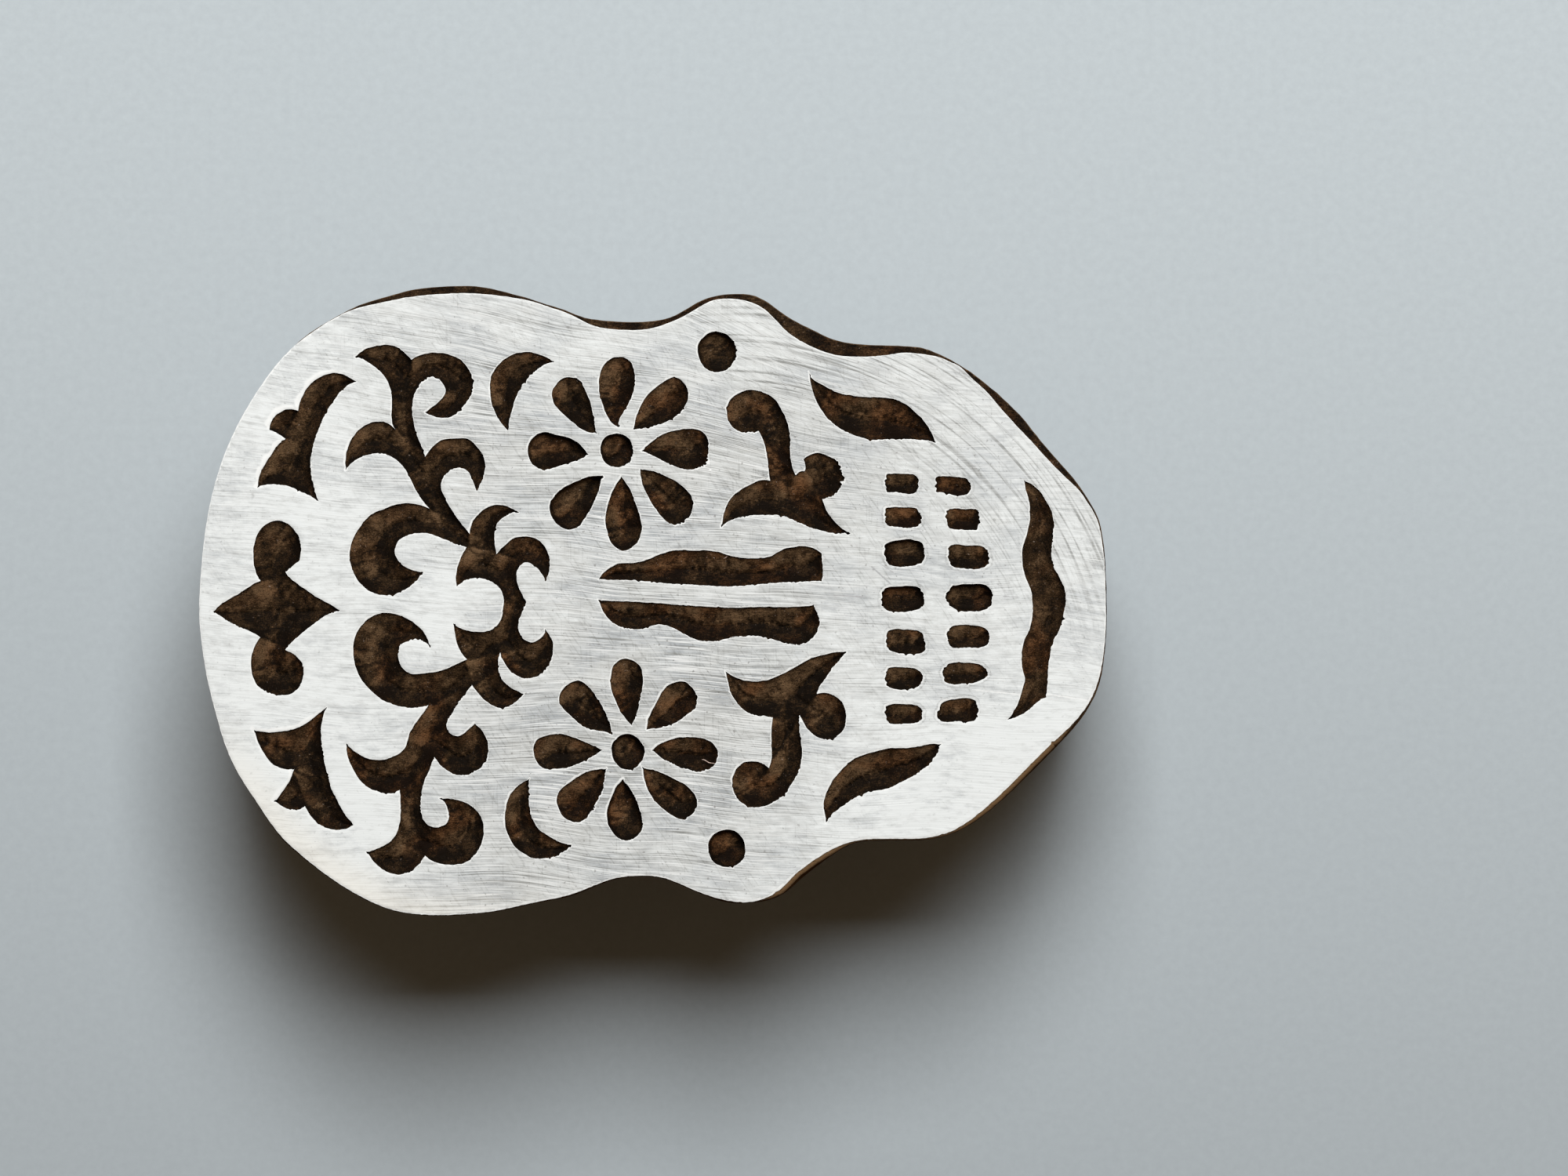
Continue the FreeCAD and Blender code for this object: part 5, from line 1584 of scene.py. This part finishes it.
    def _arcs(self, x: np.ndarray, y: np.ndarray) -> np.ndarray:
        """Return how far the brush strokes run in curves, next to the long wave cut.

        Args:
            x: First coordinates.
            y: Second coordinates.

        Returns:
            A share from 0 to 1 for each point.
        """
        middle_x, middle_y = self.finish.arc_middle
        radius = np.hypot(x - middle_x, y - middle_y)
        turn = np.degrees(np.arctan2(y - middle_y, x - middle_x))
        arcs = smooth_rise(radius, *self.arc_radii) * smooth_rise(turn, *self.arc_start)
        return arcs * (1.0 - smooth_rise(turn, *self.arc_end))

    def _tilt(self, x: np.ndarray, y: np.ndarray) -> np.ndarray:
        """Return how far the brush strokes are pushed off level, so that the upper ones slant.

        Args:
            x: First coordinates.
            y: Second coordinates.

        Returns:
            The push at each point.
        """
        right = np.clip(x - self.right_start, 0.0, self.right_width)
        tilt = self.upper_slant * (x - self.upper_start) * smooth_rise(y, *self.upper_rows)
        return tilt + self.right_slant * right * smooth_rise(y, *self.right_rows)

    def _skirt(self, part: MeshPart, line: Outline, index: int, noise: Ripple) -> None:
        """Add the layer's edge and the drips that run a little way down the cut.

        Args:
            part: The mesh that it goes into.
            line: The edge.
            index: The edge's number: 0 is the outer one.
            noise: The noise that shapes the drips.
        """
        drips = np.clip(noise.at(line.ways() / 0.8, index + 40), 0, 1) ** 1.6
        run = 0.06 + self.drip * drips
        top = lifted(line.points, self.plateau - self.skirt_drop)
        low = lifted(line.points, self.carving.wood_height - run)
        tuck = line.moved(-self.tuck if index == 0 else self.tuck)
        back = lifted(tuck.points, self.carving.wood_height - run - 0.01)
        part.add_wall([top, low, back], inward=index > 0, lip=1.0, worn=0.2, halo=self.halo_reach)


@dataclass
class SawnEdge:
    """The side of a board between two heights."""

    top: float
    base: float
    ease: float
    seed: int
    saw_mark: float = 0.05
    rasp: float = 0.045
    ring_step: float = 0.55
    seam_fade: Range = (0.10, 0.45)

    def rings(self, line: Outline) -> tuple[list[np.ndarray], np.ndarray]:
        """Return the side's rings from the top down.

        Args:
            line: The board's outline.

        Returns:
            The rings, and for all their points how far each is cut back, from 0 to 1.
        """
        noise = Ripple(self.seed)
        way = line.ways()
        levels = [(0.0, self.ease), (0.09, self.ease * 0.25), (0.22, 0.0)]
        span = self.top - self.base
        inner = np.linspace(0.5, span - 0.5, max(3, int(span / self.ring_step)))
        levels += [(float(d), 0.0) for d in inner]
        levels += [(span - 0.22, 0.0), (span - 0.09, 0.04), (span, 0.14)]
        rings, cuts = [], []
        for depth, inset in levels:
            saw = 0.5 + 0.5 * noise.at(way / 3.5 + depth * 0.12, depth / 0.9)
            rasp = 0.5 + 0.5 * noise.at(way / 0.7, depth / 2.4 + 50)
            fade = 0.0 if depth in (0.0, span) else 1.0
            cut = (self.saw_mark * saw + self.rasp * rasp) * fade
            rings.append(lifted(line.moved(-cut - inset).points, self.top - depth))
            cuts.append(cut / (self.saw_mark + self.rasp))
        return rings, np.concatenate(cuts)

    def seam(self, rings: Sequence[np.ndarray]) -> np.ndarray:
        """Return how close each ring's points lie to the glue line below, from 0 to 1."""
        height = np.concatenate(rings)[:, 2]
        return 1.0 - smooth_rise(height - self.base, *self.seam_fade)

    def upper_seam(self, rings: Sequence[np.ndarray]) -> np.ndarray:
        """Return how close each ring's points lie to the glue line above, from 0 to 1."""
        height = np.concatenate(rings)[:, 2]
        return 1.0 - smooth_rise(self.top - height, *self.seam_fade)


@dataclass
class CarvedFace:
    """The face board: the cut recesses, the ledge round the raised pattern and the sawn edge."""

    carving: Carving
    finish: CarvedWood = field(default_factory=CarvedWood)
    painted_shading: PaintedLightAndShade = field(default_factory=PaintedLightAndShade)
    rim_overlap: float = 0.02
    wall_depth: float = 0.75
    wall_wave: float = 0.22
    wall_ripple: float = 0.018
    lit_wall: float = 0.72
    tooth_wall: float = 0.6
    floor_depth: float = 2.8
    least_depth: float = 0.2
    most_depth: float = 3.58
    slope: float = 0.92
    lit_side: tuple[float, float] = (-0.45, 0.893)
    lit_range: Range = (-0.4, 0.6)
    roundness: float = 0.8
    round_radius: float = 1.6
    facet_width: float = 1.15
    facet_depth: float = 0.17
    crease_depth: float = 0.8
    # crease_dark and crease_light paint shade and light on the two facets beside a crease.
    crease_dark: float = 0.46
    crease_light: float = 0.34
    # wall_tone: the steep recess walls are painted dark, as painted shade.
    wall_tone: float = 0.16
    blotch: float = 0.10
    # foot_dark: painted shade at the foot of the walls on the lower side.
    foot_dark: float = 0.13
    foot_reach: Range = (0.05, 0.55)
    # tooth_ends paints shade at both ends of a tooth cut, tooth_slant paints its upper side lighter.
    tooth_ends: float = 0.34
    tooth_slant: float = 0.17
    tooth_blotch: float = 0.13
    point_step: float = 0.25
    body_inset: float = 0.07
    ledge_step: float = 0.34
    ledge_tone: float = 0.24
    edge_wall_tone: float = 0.30
    edge_ease: float = 0.07
    seed: int = 33
    noise: Ripple = field(init=False)

    def __post_init__(self) -> None:
        """Fill the noise of the tool marks."""
        self.noise = Ripple(self.seed)

    def build(self) -> bpy.types.Object:
        """Build the board.

        Returns:
            Its object.
        """
        part = MeshPart(["tone", "bare", "sawn"])
        for index, line in enumerate(self.carving.recesses):
            self._recess(part, line, index)
        self._ledge(part)
        self._sawn_edge(part)
        made = part.build("carved_face_board", self.finish.material())
        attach(made, "root")
        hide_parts("face_board")
        LOG.info("carved face: %d faces", len(made.data.polygons))
        return made

    def _recess(self, part: MeshPart, line: Outline, index: int) -> None:
        """Add one recess: its steep wall and its cut floor.

        Args:
            part: The mesh that it goes into.
            line: The recess's outline.
            index: Its number.
        """
        rim = line.moved(self.rim_overlap)
        top = self.carving.wood_height
        wall = self._wall(part, rim, index, line.is_tooth())
        spots = scatter(rim.points.min(0), rim.points.max(0), self.point_step, self.seed + index)
        spots = spots[rim.holds(spots)]
        gap, _ = nearest_on([rim], spots)
        flat, faces = triangulated([rim], [], spots[gap > self.point_step * 0.45])
        gap, away = nearest_on([rim], flat)
        depth = self._depth(flat, gap, away, line, index, wall[nearest_corner(rim.points, flat)])
        crease = self._creases(flat, self.carving.joints[index])
        sunk = self.crease_depth * np.clip(-crease, 0, 1) * smooth_rise(gap, 0.0, 0.5)
        depth = np.clip(depth + sunk, self.least_depth, self.most_depth)
        points = lifted(flat, top - depth)
        # Painted light and shade of the facets, and painted shade and light beside the creases.
        tone = self.painted_shading.tone(rim, flat, depth, self._normals(points, faces)) + crease
        tone += self.blotch * self.noise.at(flat[:, 0] / 1.3 + 9, flat[:, 1] / 1.1)
        # Painted shade at the foot of the walls on the lower side.
        low_side = smooth_rise(away @ np.array(self.lit_side), 0.5, -0.3)
        tone -= self.foot_dark * (1.0 - smooth_rise(gap, *self.foot_reach)) * low_side
        if line.is_tooth():
            low, high = rim.points.min(0), rim.points.max(0)
            span = (flat - (low + high) / 2) / ((high - low) / 2)
            # Painted shade at both ends of a tooth cut, painted light towards its upper side.
            tone -= self.tooth_ends * smooth_rise(np.abs(span[:, 0]), 0.40, 0.95)
            blotch = self.tooth_blotch * self.noise.at(flat[:, 0] / 0.42, index)
            tone += self.tooth_slant * span[:, 1] + blotch
        part.add(points, faces, tone=np.clip(tone, 0, 1.2))

    def _wall(self, part: MeshPart, rim: Outline, index: int, tooth: bool) -> np.ndarray:
        """Add the steep wall of a recess.

        Args:
            part: The mesh that it goes into.
            rim: The recess's rim.
            index: The recess's number.
            tooth: Whether it is one of the cuts between the jaws.

        Returns:
            How deep the wall ends at each point of the rim.
        """
        way, top = rim.ways(), self.carving.wood_height
        lean = smooth_rise(rim.normals() @ np.array(self.lit_side), *self.lit_range)
        wall = self.wall_depth * (1 + self.wall_wave * self.noise.at(way / 0.9, index))
        wall = wall * (1 - self.lit_wall * lean) * (self.tooth_wall if tooth else 1.0)
        middle = rim.moved(self.wall_ripple * self.noise.at(way / 0.35, index + 7))
        rings = [lifted(rim.points, top), lifted(middle.points, top - wall * 0.5),
                 lifted(rim.points, top - wall)]
        part.add_wall(rings, inward=True, tone=self.wall_tone)
        return wall

    def _creases(self, flat: np.ndarray,
                 joints: Sequence[tuple[np.ndarray, np.ndarray]]) -> np.ndarray:
        """Return the painted shade and painted light next to the creases between cuts.

        Args:
            flat: The points.
            joints: The ends of each crease.

        Returns:
            What is added to the tone at each point.
        """
        change = np.zeros(len(flat))
        x, y = flat.T
        for start, end in joints:
            run = end - start
            length = float(np.linalg.norm(run))
            across = np.array([-run[1], run[0]]) / length
            across *= 1.0 if across @ np.array(self.lit_side) > 0 else -1.0
            share = np.clip((flat - start) @ run / length ** 2, 0.0, 1.0)
            gap = np.linalg.norm(flat - start - share[:, None] * run, axis=1)
            side = (flat - start) @ across + 0.16 * self.noise.at(x / 0.8, y / 0.8)
            dark = -self.crease_dark * np.exp(-gap / 0.75) * smooth_rise(side, -0.05, 0.10)
            light = self.crease_light * np.exp(-gap / 0.95) * smooth_rise(-side, 0.05, 0.20)
            change += (dark + light) * (1.0 - 0.3 * share)
        return np.clip(change, -0.50, self.crease_light)

    def _depth(self, flat: np.ndarray, gap: np.ndarray, away: np.ndarray, line: Outline,
               index: int, start: np.ndarray) -> np.ndarray:
        """Return how deep the floor of a recess lies at its points.

        Args:
            flat: The points.
            gap: Their distance from the edge.
            away: The direction to the edge.
            line: The outline of the recess.
            index: Its number.
            start: How deep the wall ends next to each point.

        Returns:
            The depth under the wood's top.
        """
        room = self.floor_depth - start
        radius = max(float(gap.max()), 0.3)
        x, y = flat.T
        swell = 1 + 0.12 * self.noise.at(x / 2.6 + index, y / 2.6)
        round_cut = 4 * math.pi * line.area / (line.ways()[-1] ** 2) > self.roundness
        if round_cut and radius > self.round_radius:
            fall = 1.05 * radius * np.sqrt(np.clip(1 - (1 - gap / radius) ** 2, 0, 1))
        else:
            lean = smooth_rise(away @ np.array(self.lit_side), *self.lit_range)
            fall = self.slope * gap * (1 - 0.30 * lean)
        fall = room * (1 - np.exp(-fall * swell / room * 1.15))
        side = x * away[:, 1] - y * away[:, 0]
        facets = side / self.facet_width + 0.3 * self.noise.at(x / 1.7, y / 1.7)
        facets = np.abs(np.mod(facets, 1.0) - 0.5)
        marks = self.facet_depth * (facets - 0.25) + 0.09 * self.noise.at(x / 0.55, y / 0.4)
        marks += 0.20 * (0.4 - np.abs(self.noise.at(x / 1.15 + 3, y / 1.0)))
        marks *= smooth_rise(gap, 0.05, 0.8)
        return np.clip(start + fall + marks, self.least_depth, self.most_depth)

    @staticmethod
    def _normals(points: np.ndarray, faces: np.ndarray) -> np.ndarray:
        """Return the upward normal at each point of a mesh.

        Args:
            points: The points.
            faces: The triangles.

        Returns:
            One direction for each point.
        """
        corners = points[faces]
        sides = np.cross(corners[:, 1] - corners[:, 0], corners[:, 2] - corners[:, 0])
        sides *= np.where(sides[:, 2:3] < 0, -1, 1)
        total = np.zeros_like(points)
        for corner in range(3):
            np.add.at(total, faces[:, corner], sides)
        return total / np.maximum(np.linalg.norm(total, axis=1), 1e-12)[:, None]

    @staticmethod
    def _rubbed_and_lit(points: np.ndarray) -> np.ndarray:
        """Return how far the lower right is rubbed down and painted lighter at points, 0 to 1."""
        return smooth_rise(-points[:, 1], 12.0, 19.0) * smooth_rise(points[:, 0], 8.0, 17.0)

    def _ledge(self, part: MeshPart) -> None:
        """Add the wall of the raised face and the rough ledge outside it.

        Args:
            part: The mesh that they go into.
        """
        body = self.carving.body.moved(-self.body_inset)
        face = self._face_wall(part, body)
        base = self.carving.ledge_height
        spots = scatter(body.points.min(0), body.points.max(0), self.ledge_step, self.seed + 90)
        spots = spots[body.holds(spots) & ~face.holds(spots)]
        gap, _ = nearest_on([face, body], spots)
        brink = body.moved(-0.10).points
        close, _ = nearest_on([face], brink)
        brink = brink[(close > 0.15) & ~face.holds(brink)]
        flat, faces = triangulated([body], [face], np.concatenate([spots[gap > 0.20], brink]))
        inner, _ = nearest_on([face], flat)
        edge, _ = nearest_on([body], flat)
        x, y = flat.T
        marks = 0.16 * self.noise.at(x / 1.2, y / 0.8)
        marks += 0.08 * self.noise.at(x / 0.5 + 40, y / 0.5)
        height = base - np.abs(marks) * smooth_rise(edge, 0.0, 0.5) * smooth_rise(inner, 0.0, 0.3)
        tone = self.ledge_tone + 0.18 * self.noise.at(x / 2.2, y / 1.6)
        # Painted light: towards the lower side the ledge is painted much lighter.
        tone += 1.2 * smooth_rise(-y, 4.0, 20.0)
        bare = (1 - smooth_rise(edge, 0.02, 0.09)) * smooth_rise(y, 0.0, 8.0)
        bare *= 0.75 + 0.5 * self.noise.at(x / 2.4, y / 2.4)
        # Rubbed down and painted lighter at the lower right, as if lit.
        bare += 0.6 * self._rubbed_and_lit(flat)
        part.add(lifted(flat, height), faces, tone=tone, bare=np.clip(bare, 0, 1))

    def _face_wall(self, part: MeshPart, body: Outline) -> Outline:
        """Add the wall under the face's outer edge; it flares where rubbed and painted lighter.

        Args:
            part: The mesh that it goes into.
            body: The ledge's outer line, which the flare stays inside.

        Returns:
            The line at the wall's foot.
        """
        face = self.carving.face.moved(-self.rim_overlap)
        top, base = self.carving.wood_height, self.carving.ledge_height
        way = face.ways()
        room, _ = nearest_on([body], face.points)
        # rubbed: where the wall is rubbed down and painted lighter, as if lit from the lower right.
        rubbed = self._rubbed_and_lit(face.points)
        flare = np.clip(room - 0.16, 0.0, 0.62) * rubbed
        rings = [lifted(face.points, top), lifted(face.moved(flare * 0.6).points, top - 0.12),
                 lifted(face.moved(flare).points, top - 0.30)]
        for share in (0.3, 0.5, 0.75):
            bulge = 0.03 * self.noise.at(way / 1.4, share * 31) - 0.02 * share
            rings.append(lifted(face.moved(flare + bulge).points, top + (base - top) * share))
        foot = face.moved(flare)
        rings.append(lifted(foot.points, base))
        bare = np.concatenate([rubbed * share for share in (1.0, 1.0, 0.8, 0.3, 0.0, 0.0, 0.0)])
        part.add_wall(rings, tone=self.edge_wall_tone, bare=bare, sawn=0.6)
        return foot

    def _sawn_edge(self, part: MeshPart) -> None:
        """Add the sawn and rasped side of the board, with eased corners.

        Args:
            part: The mesh that it goes into.
        """
        edge = SawnEdge(self.carving.ledge_height, self.carving.seam_height, self.edge_ease,
                        self.seed + 5)
        rings, cuts = edge.rings(self.carving.body)
        tone = 0.36 + 0.25 * cuts - 0.34 * edge.seam(rings)
        part.add_wall(rings, tone=tone, sawn=1.0)


@dataclass
class GluedBoard:
    """A plain board under the face: cross_board or back_board."""

    node: str
    piece: str
    slot: str
    top: float
    base: float
    body: Outline
    packed: PackedShape
    finish: PlainWood
    housing: float = 0.0
    housing_area: float = 200.0
    housing_step: float = 0.5
    ease: float = 0.14
    point_step: float = 1.6
    wear: float = 0.09
    seed: int = 51

    def build(self) -> bpy.types.Object:
        """Build the board.

        Returns:
            Its object.
        """
        part = MeshPart(["seam", "handled"])
        edge = SawnEdge(self.top, self.base, self.ease, self.seed)
        rings, cuts = edge.rings(self.body)
        lower = edge.seam(rings) * (0.0 if self.housing else 1.0)
        part.add_wall(rings, seam=np.maximum(edge.upper_seam(rings), lower), handled=cuts)
        self._level(part, Outline(rings[0][:, :2]), self.top)
        self._underside(part, Outline(rings[-1][:, :2]))
        made = part.build(self.piece, self.finish.material())
        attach(made, "root")
        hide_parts(self.node)
        LOG.info("%s: %d faces", self.piece, len(made.data.polygons))
        return made

    @staticmethod
    def _level(part: MeshPart, border: Outline, height: float, down: bool = False) -> None:
        """Add a level face.

        Args:
            part: The mesh that it goes into.
            border: The line round it.
            height: Its height.
            down: Whether it faces down.
        """
        flat, faces = triangulated([border], [], np.zeros((0, 2)))
        part.add(lifted(flat, height), faces[:, ::-1] if down else faces)

    def _underside(self, part: MeshPart, border: Outline) -> None:
        """Add the worn underside and the housing that the grip lies in.

        Args:
            part: The mesh that they go into.
            border: The line round the underside.
        """
        holes = []
        if self.housing:
            lines = self.packed.outlines(self.base)[1:]
            holes = [line.resampled(self.housing_step) for line in lines
                     if line.area > self.housing_area]
        spots = scatter(border.points.min(0), border.points.max(0), self.point_step, self.seed)
        keep = border.holds(spots)
        for hole in holes:
            keep &= ~hole.holds(spots)
        gap, _ = nearest_on([border, *holes], spots)
        flat, faces = triangulated([border], holes, spots[keep & (gap > 0.6)])
        noise = Ripple(self.seed + 3)
        gap, _ = nearest_on([border, *holes], flat)
        worn = self.wear * (0.5 + 0.5 * noise.at(flat[:, 0] / 7.0, flat[:, 1] / 4.0))
        height = self.base + worn * smooth_rise(gap, 0.0, 1.5)
        part.add(lifted(flat, height), faces[:, ::-1])
        for hole in holes:
            low = lifted(hole.points, self.base)
            high = lifted(hole.points, self.base + self.housing)
            part.add_wall([high, low], inward=True)
            self._level(part, hole, self.base + self.housing, down=True)


@dataclass
class PackedPiece:
    """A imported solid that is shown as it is, in a better finish."""

    node: bpy.types.Object
    slot: str
    finish: Union[PlainWood, OldBrass]

    def dress(self) -> None:
        """Give the solid its finish."""
        made = self.finish.material()
        self.node.data.materials.clear()
        self.node.data.materials.append(made)
        LOG.info("%s: dressed in %s", self.node.name, made.name)


@dataclass
class Fibre:
    """One loose wood fibre or shaving that lies in a cut."""

    path: Sequence[tuple[float, float, float]]
    thickness: float
    sides: int = 5
    steps_per_knot: int = 6
    flatness: float = 0.5
    tip: float = 0.12

    def add_to(self, part: MeshPart) -> None:
        """Add the fibre's tube to a mesh.

        Args:
            part: The mesh.
        """
        knots = np.array(self.path, float)
        marks = np.linspace(0, len(knots) - 1, len(knots) * self.steps_per_knot)
        line = np.column_stack([smooth_path(knots[:, k], marks) for k in range(3)])
        ahead = np.gradient(line, axis=0)
        ahead /= np.linalg.norm(ahead, axis=1)[:, None]
        side = np.cross(ahead, np.array([0.0, 0.0, 1.0]))
        side /= np.maximum(np.linalg.norm(side, axis=1), 1e-9)[:, None]
        up = np.cross(side, ahead)
        share = np.linspace(self.tip, math.pi - self.tip, len(line))
        taper = self.thickness * np.sqrt(np.sin(share))
        rings = []
        for angle in np.linspace(0, 2 * math.pi, self.sides, endpoint=False):
            turn = side * math.cos(angle) + up * math.sin(angle) * self.flatness
            rings.append(line + turn * taper[:, None])
        points = np.stack(rings, axis=1).reshape(-1, 3)
        rows = []
        for i in range(len(line) - 1):
            for k in range(self.sides):
                a, b = i * self.sides + k, i * self.sides + (k + 1) % self.sides
                rows.append((a, b, b + self.sides, a + self.sides))
        part.add(points, np.array(rows))


def smooth_path(values: np.ndarray, marks: np.ndarray) -> np.ndarray:
    """Return values of a smooth curve through evenly spaced knots.

    Args:
        values: The knots.
        marks: Where it is read, in knots from the first.

    Returns:
        The curve's values.
    """
    padded = np.concatenate([[2 * values[0] - values[1]], values, [2 * values[-1] - values[-2]]])
    index = np.clip(np.floor(marks).astype(int), 0, len(values) - 2)
    t = marks - index
    p0, p1, p2, p3 = (padded[index + k] for k in range(4))
    return 0.5 * (2 * p1 + (p2 - p0) * t + (2 * p0 - 5 * p1 + 4 * p2 - p3) * t ** 2
                  + (3 * p1 - p0 - 3 * p2 + p3) * t ** 3)


@dataclass
class LooseFibres:
    """The curled shaving in the upper nose cut and the hair in a petal."""

    finish: DryFibre = field(default_factory=DryFibre)
    curl: Sequence[tuple[float, float, float]] = (
        (6.43, 5.14, 48.95), (6.52, 5.36, 49.00), (6.81, 5.54, 49.10), (7.15, 5.65, 49.18),
        (7.40, 5.62, 49.15), (7.65, 5.49, 49.10), (7.97, 5.36, 49.05), (8.40, 5.38, 49.10),
        (8.71, 5.36, 49.20), (9.03, 5.42, 49.40), (9.30, 5.57, 49.60), (9.43, 5.76, 49.80),
    )
    curl_thickness: float = 0.080
    hair: Sequence[tuple[float, float, float]] = (
        (6.16, -20.04, 49.05), (6.52, -20.12, 49.15), (7.03, -20.42, 49.35),
        (7.46, -20.50, 49.60), (7.80, -20.51, 49.88),
    )
    hair_thickness: float = 0.062

    def build(self) -> bpy.types.Object:
        """Build both.

        Returns:
            Their object.
        """
        part = MeshPart([])
        Fibre(self.curl, self.curl_thickness).add_to(part)
        Fibre(self.hair, self.hair_thickness).add_to(part)
        made = part.build("loose_fibres", self.finish.material())
        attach(made, "root")
        LOG.info("loose fibres: %d faces", len(made.data.polygons))
        return made


@dataclass
class Studio:
    """Floor, lamp, world and camera, in metres."""

    aim: tuple[float, float] = (0.01653, 0.00163)
    face_height: float = 0.05025
    view_width: float = 0.19793
    distance: float = 1.0
    sensor: float = 36.0
    lamp_height: float = 1.10
    lamp_offset: tuple[float, float] = (0.06, 0.53)
    lamp_size: tuple[float, float] = (0.44, 0.62)
    lamp_power: float = 16.6
    ambient: Colour = (0.081, 0.0545, 0.0315)
    floor_reach: float = 3.0
    # floor_top and floor_low: painted shade, darker towards the lower side.
    floor_top: Colour = (0.588, 0.658, 0.692)
    floor_low: Colour = (0.464, 0.520, 0.551)
    floor_shade: Colour = (0.30, 0.33, 0.36)
    floor_fade: Range = (-78.0, 96.0)
    floor_cloth: Pattern = Pattern((0.9, 0.9, 1.0), 0.0, 4.0, 0.65)

    def build(self) -> None:
        """Build the stage."""
        self._floor()
        self._lamp()
        self._world()
        self._camera()
        bpy.context.scene.view_settings.view_transform = "Standard"
        LOG.info("studio: lamp %.1f W", self.lamp_power)

    def _floor(self) -> None:
        """Add the pale floor, with painted shade that darkens it towards the lower side."""
        mesh = bpy.data.meshes.new("floor")
        reach = self.floor_reach
        corners = [(-reach, -reach, 0), (reach, -reach, 0), (reach, reach, 0), (-reach, reach, 0)]
        mesh.from_pydata(corners, [], [(0, 1, 2, 3)])
        made = bpy.data.materials.new("pale_floor")
        g = Graph(made)
        x, y, z = g.place()
        # Painted shade: the floor colour darkens from floor_top to floor_low towards the lower side.
        down = (y * -0.9 + x * -0.03).ramp(*self.floor_fade)
        colour = g.mix(down, self.floor_top, self.floor_low)
        cloth = g.noise(self.floor_cloth, x, y, z)
        colour = g.mix((cloth - 0.5) * 0.35 + 0.175, colour, self.floor_shade)
        g.surface({"Base Color": colour, "Roughness": 0.9, "Specular IOR Level": 0.1})
        mesh.materials.append(made)
        floor = bpy.data.objects.new("floor", mesh)
        bpy.context.scene.collection.objects.link(floor)

    def _lamp(self) -> None:
        """Add the soft lamp above and behind the block."""
        lamp = bpy.data.lights.new("soft_lamp", "AREA")
        lamp.shape = "RECTANGLE"
        lamp.size, lamp.size_y = self.lamp_size
        lamp.energy = self.lamp_power
        made = bpy.data.objects.new("soft_lamp", lamp)
        made.location = (*self.lamp_offset, self.lamp_height)
        bpy.context.scene.collection.objects.link(made)

    def _world(self) -> None:
        """Add the weak light from all round."""
        world = bpy.data.worlds.new("room")
        bpy.context.scene.world = world
        g = Graph(world)
        inputs = {"Color": self.ambient, "Strength": 1.0}
        g.end(g.node("ShaderNodeBackground", inputs=inputs), "ShaderNodeOutputWorld")

    def _camera(self) -> None:
        """Add the camera straight above the face."""
        lens = bpy.data.cameras.new("camera")
        lens.sensor_width = self.sensor
        lens.lens = lens.sensor_width * self.distance / self.view_width
        made = bpy.data.objects.new("camera", lens)
        made.location = (*self.aim, self.face_height + self.distance)
        bpy.context.scene.collection.objects.link(made)
        bpy.context.scene.camera = made


def glued_boards(carving: Carving, shapes: dict[str, PackedShape]) -> list[GluedBoard]:
    """Return the two boards under the face board.

    Args:
        carving: The outlines, of which the boards share the sawn one.
        shapes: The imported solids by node.

    Returns:
        The middle board and the back board.
    """
    cross = GluedBoard(
        node="cross_board",
        piece="cross_grain_board",
        slot="cross_grain_wood",
        top=37.0,
        base=30.0,
        body=carving.body,
        packed=shapes["cross_board"],
        finish=CROSS_GRAIN_WOOD,
        seed=61,
    )
    back = GluedBoard(
        node="back_board",
        piece="sawn_back_board",
        slot="backing_wood",
        top=30.0,
        base=22.0,
        body=carving.body,
        packed=shapes["back_board"],
        finish=BACKING_WOOD,
        housing=2.5,
        seed=71,
    )
    return [cross, back]


def main() -> None:
    """Build the block and its studio."""
    logging.basicConfig(level=logging.INFO, format="%(name)s: %(message)s")
    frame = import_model()
    nodes = frame["nodes"]
    shapes = {name: PackedShape(node) for name, node in nodes.items()}
    carving = Carving(shapes["ground_coat"], shapes["cross_board"])
    WhiteGround(carving).build()
    CarvedFace(carving).build()
    LooseFibres().build()
    for board in glued_boards(carving, shapes):
        board.build()
    PackedPiece(nodes["handle"], "grip_wood", GRIP_WOOD).dress()
    PackedPiece(nodes["dowel_pegs"], "peg_wood", PEG_WOOD).dress()
    PackedPiece(nodes["handle_screws"], "screw_brass", OldBrass()).dress()
    Studio().build()


if __name__ == "__main__":
    main()
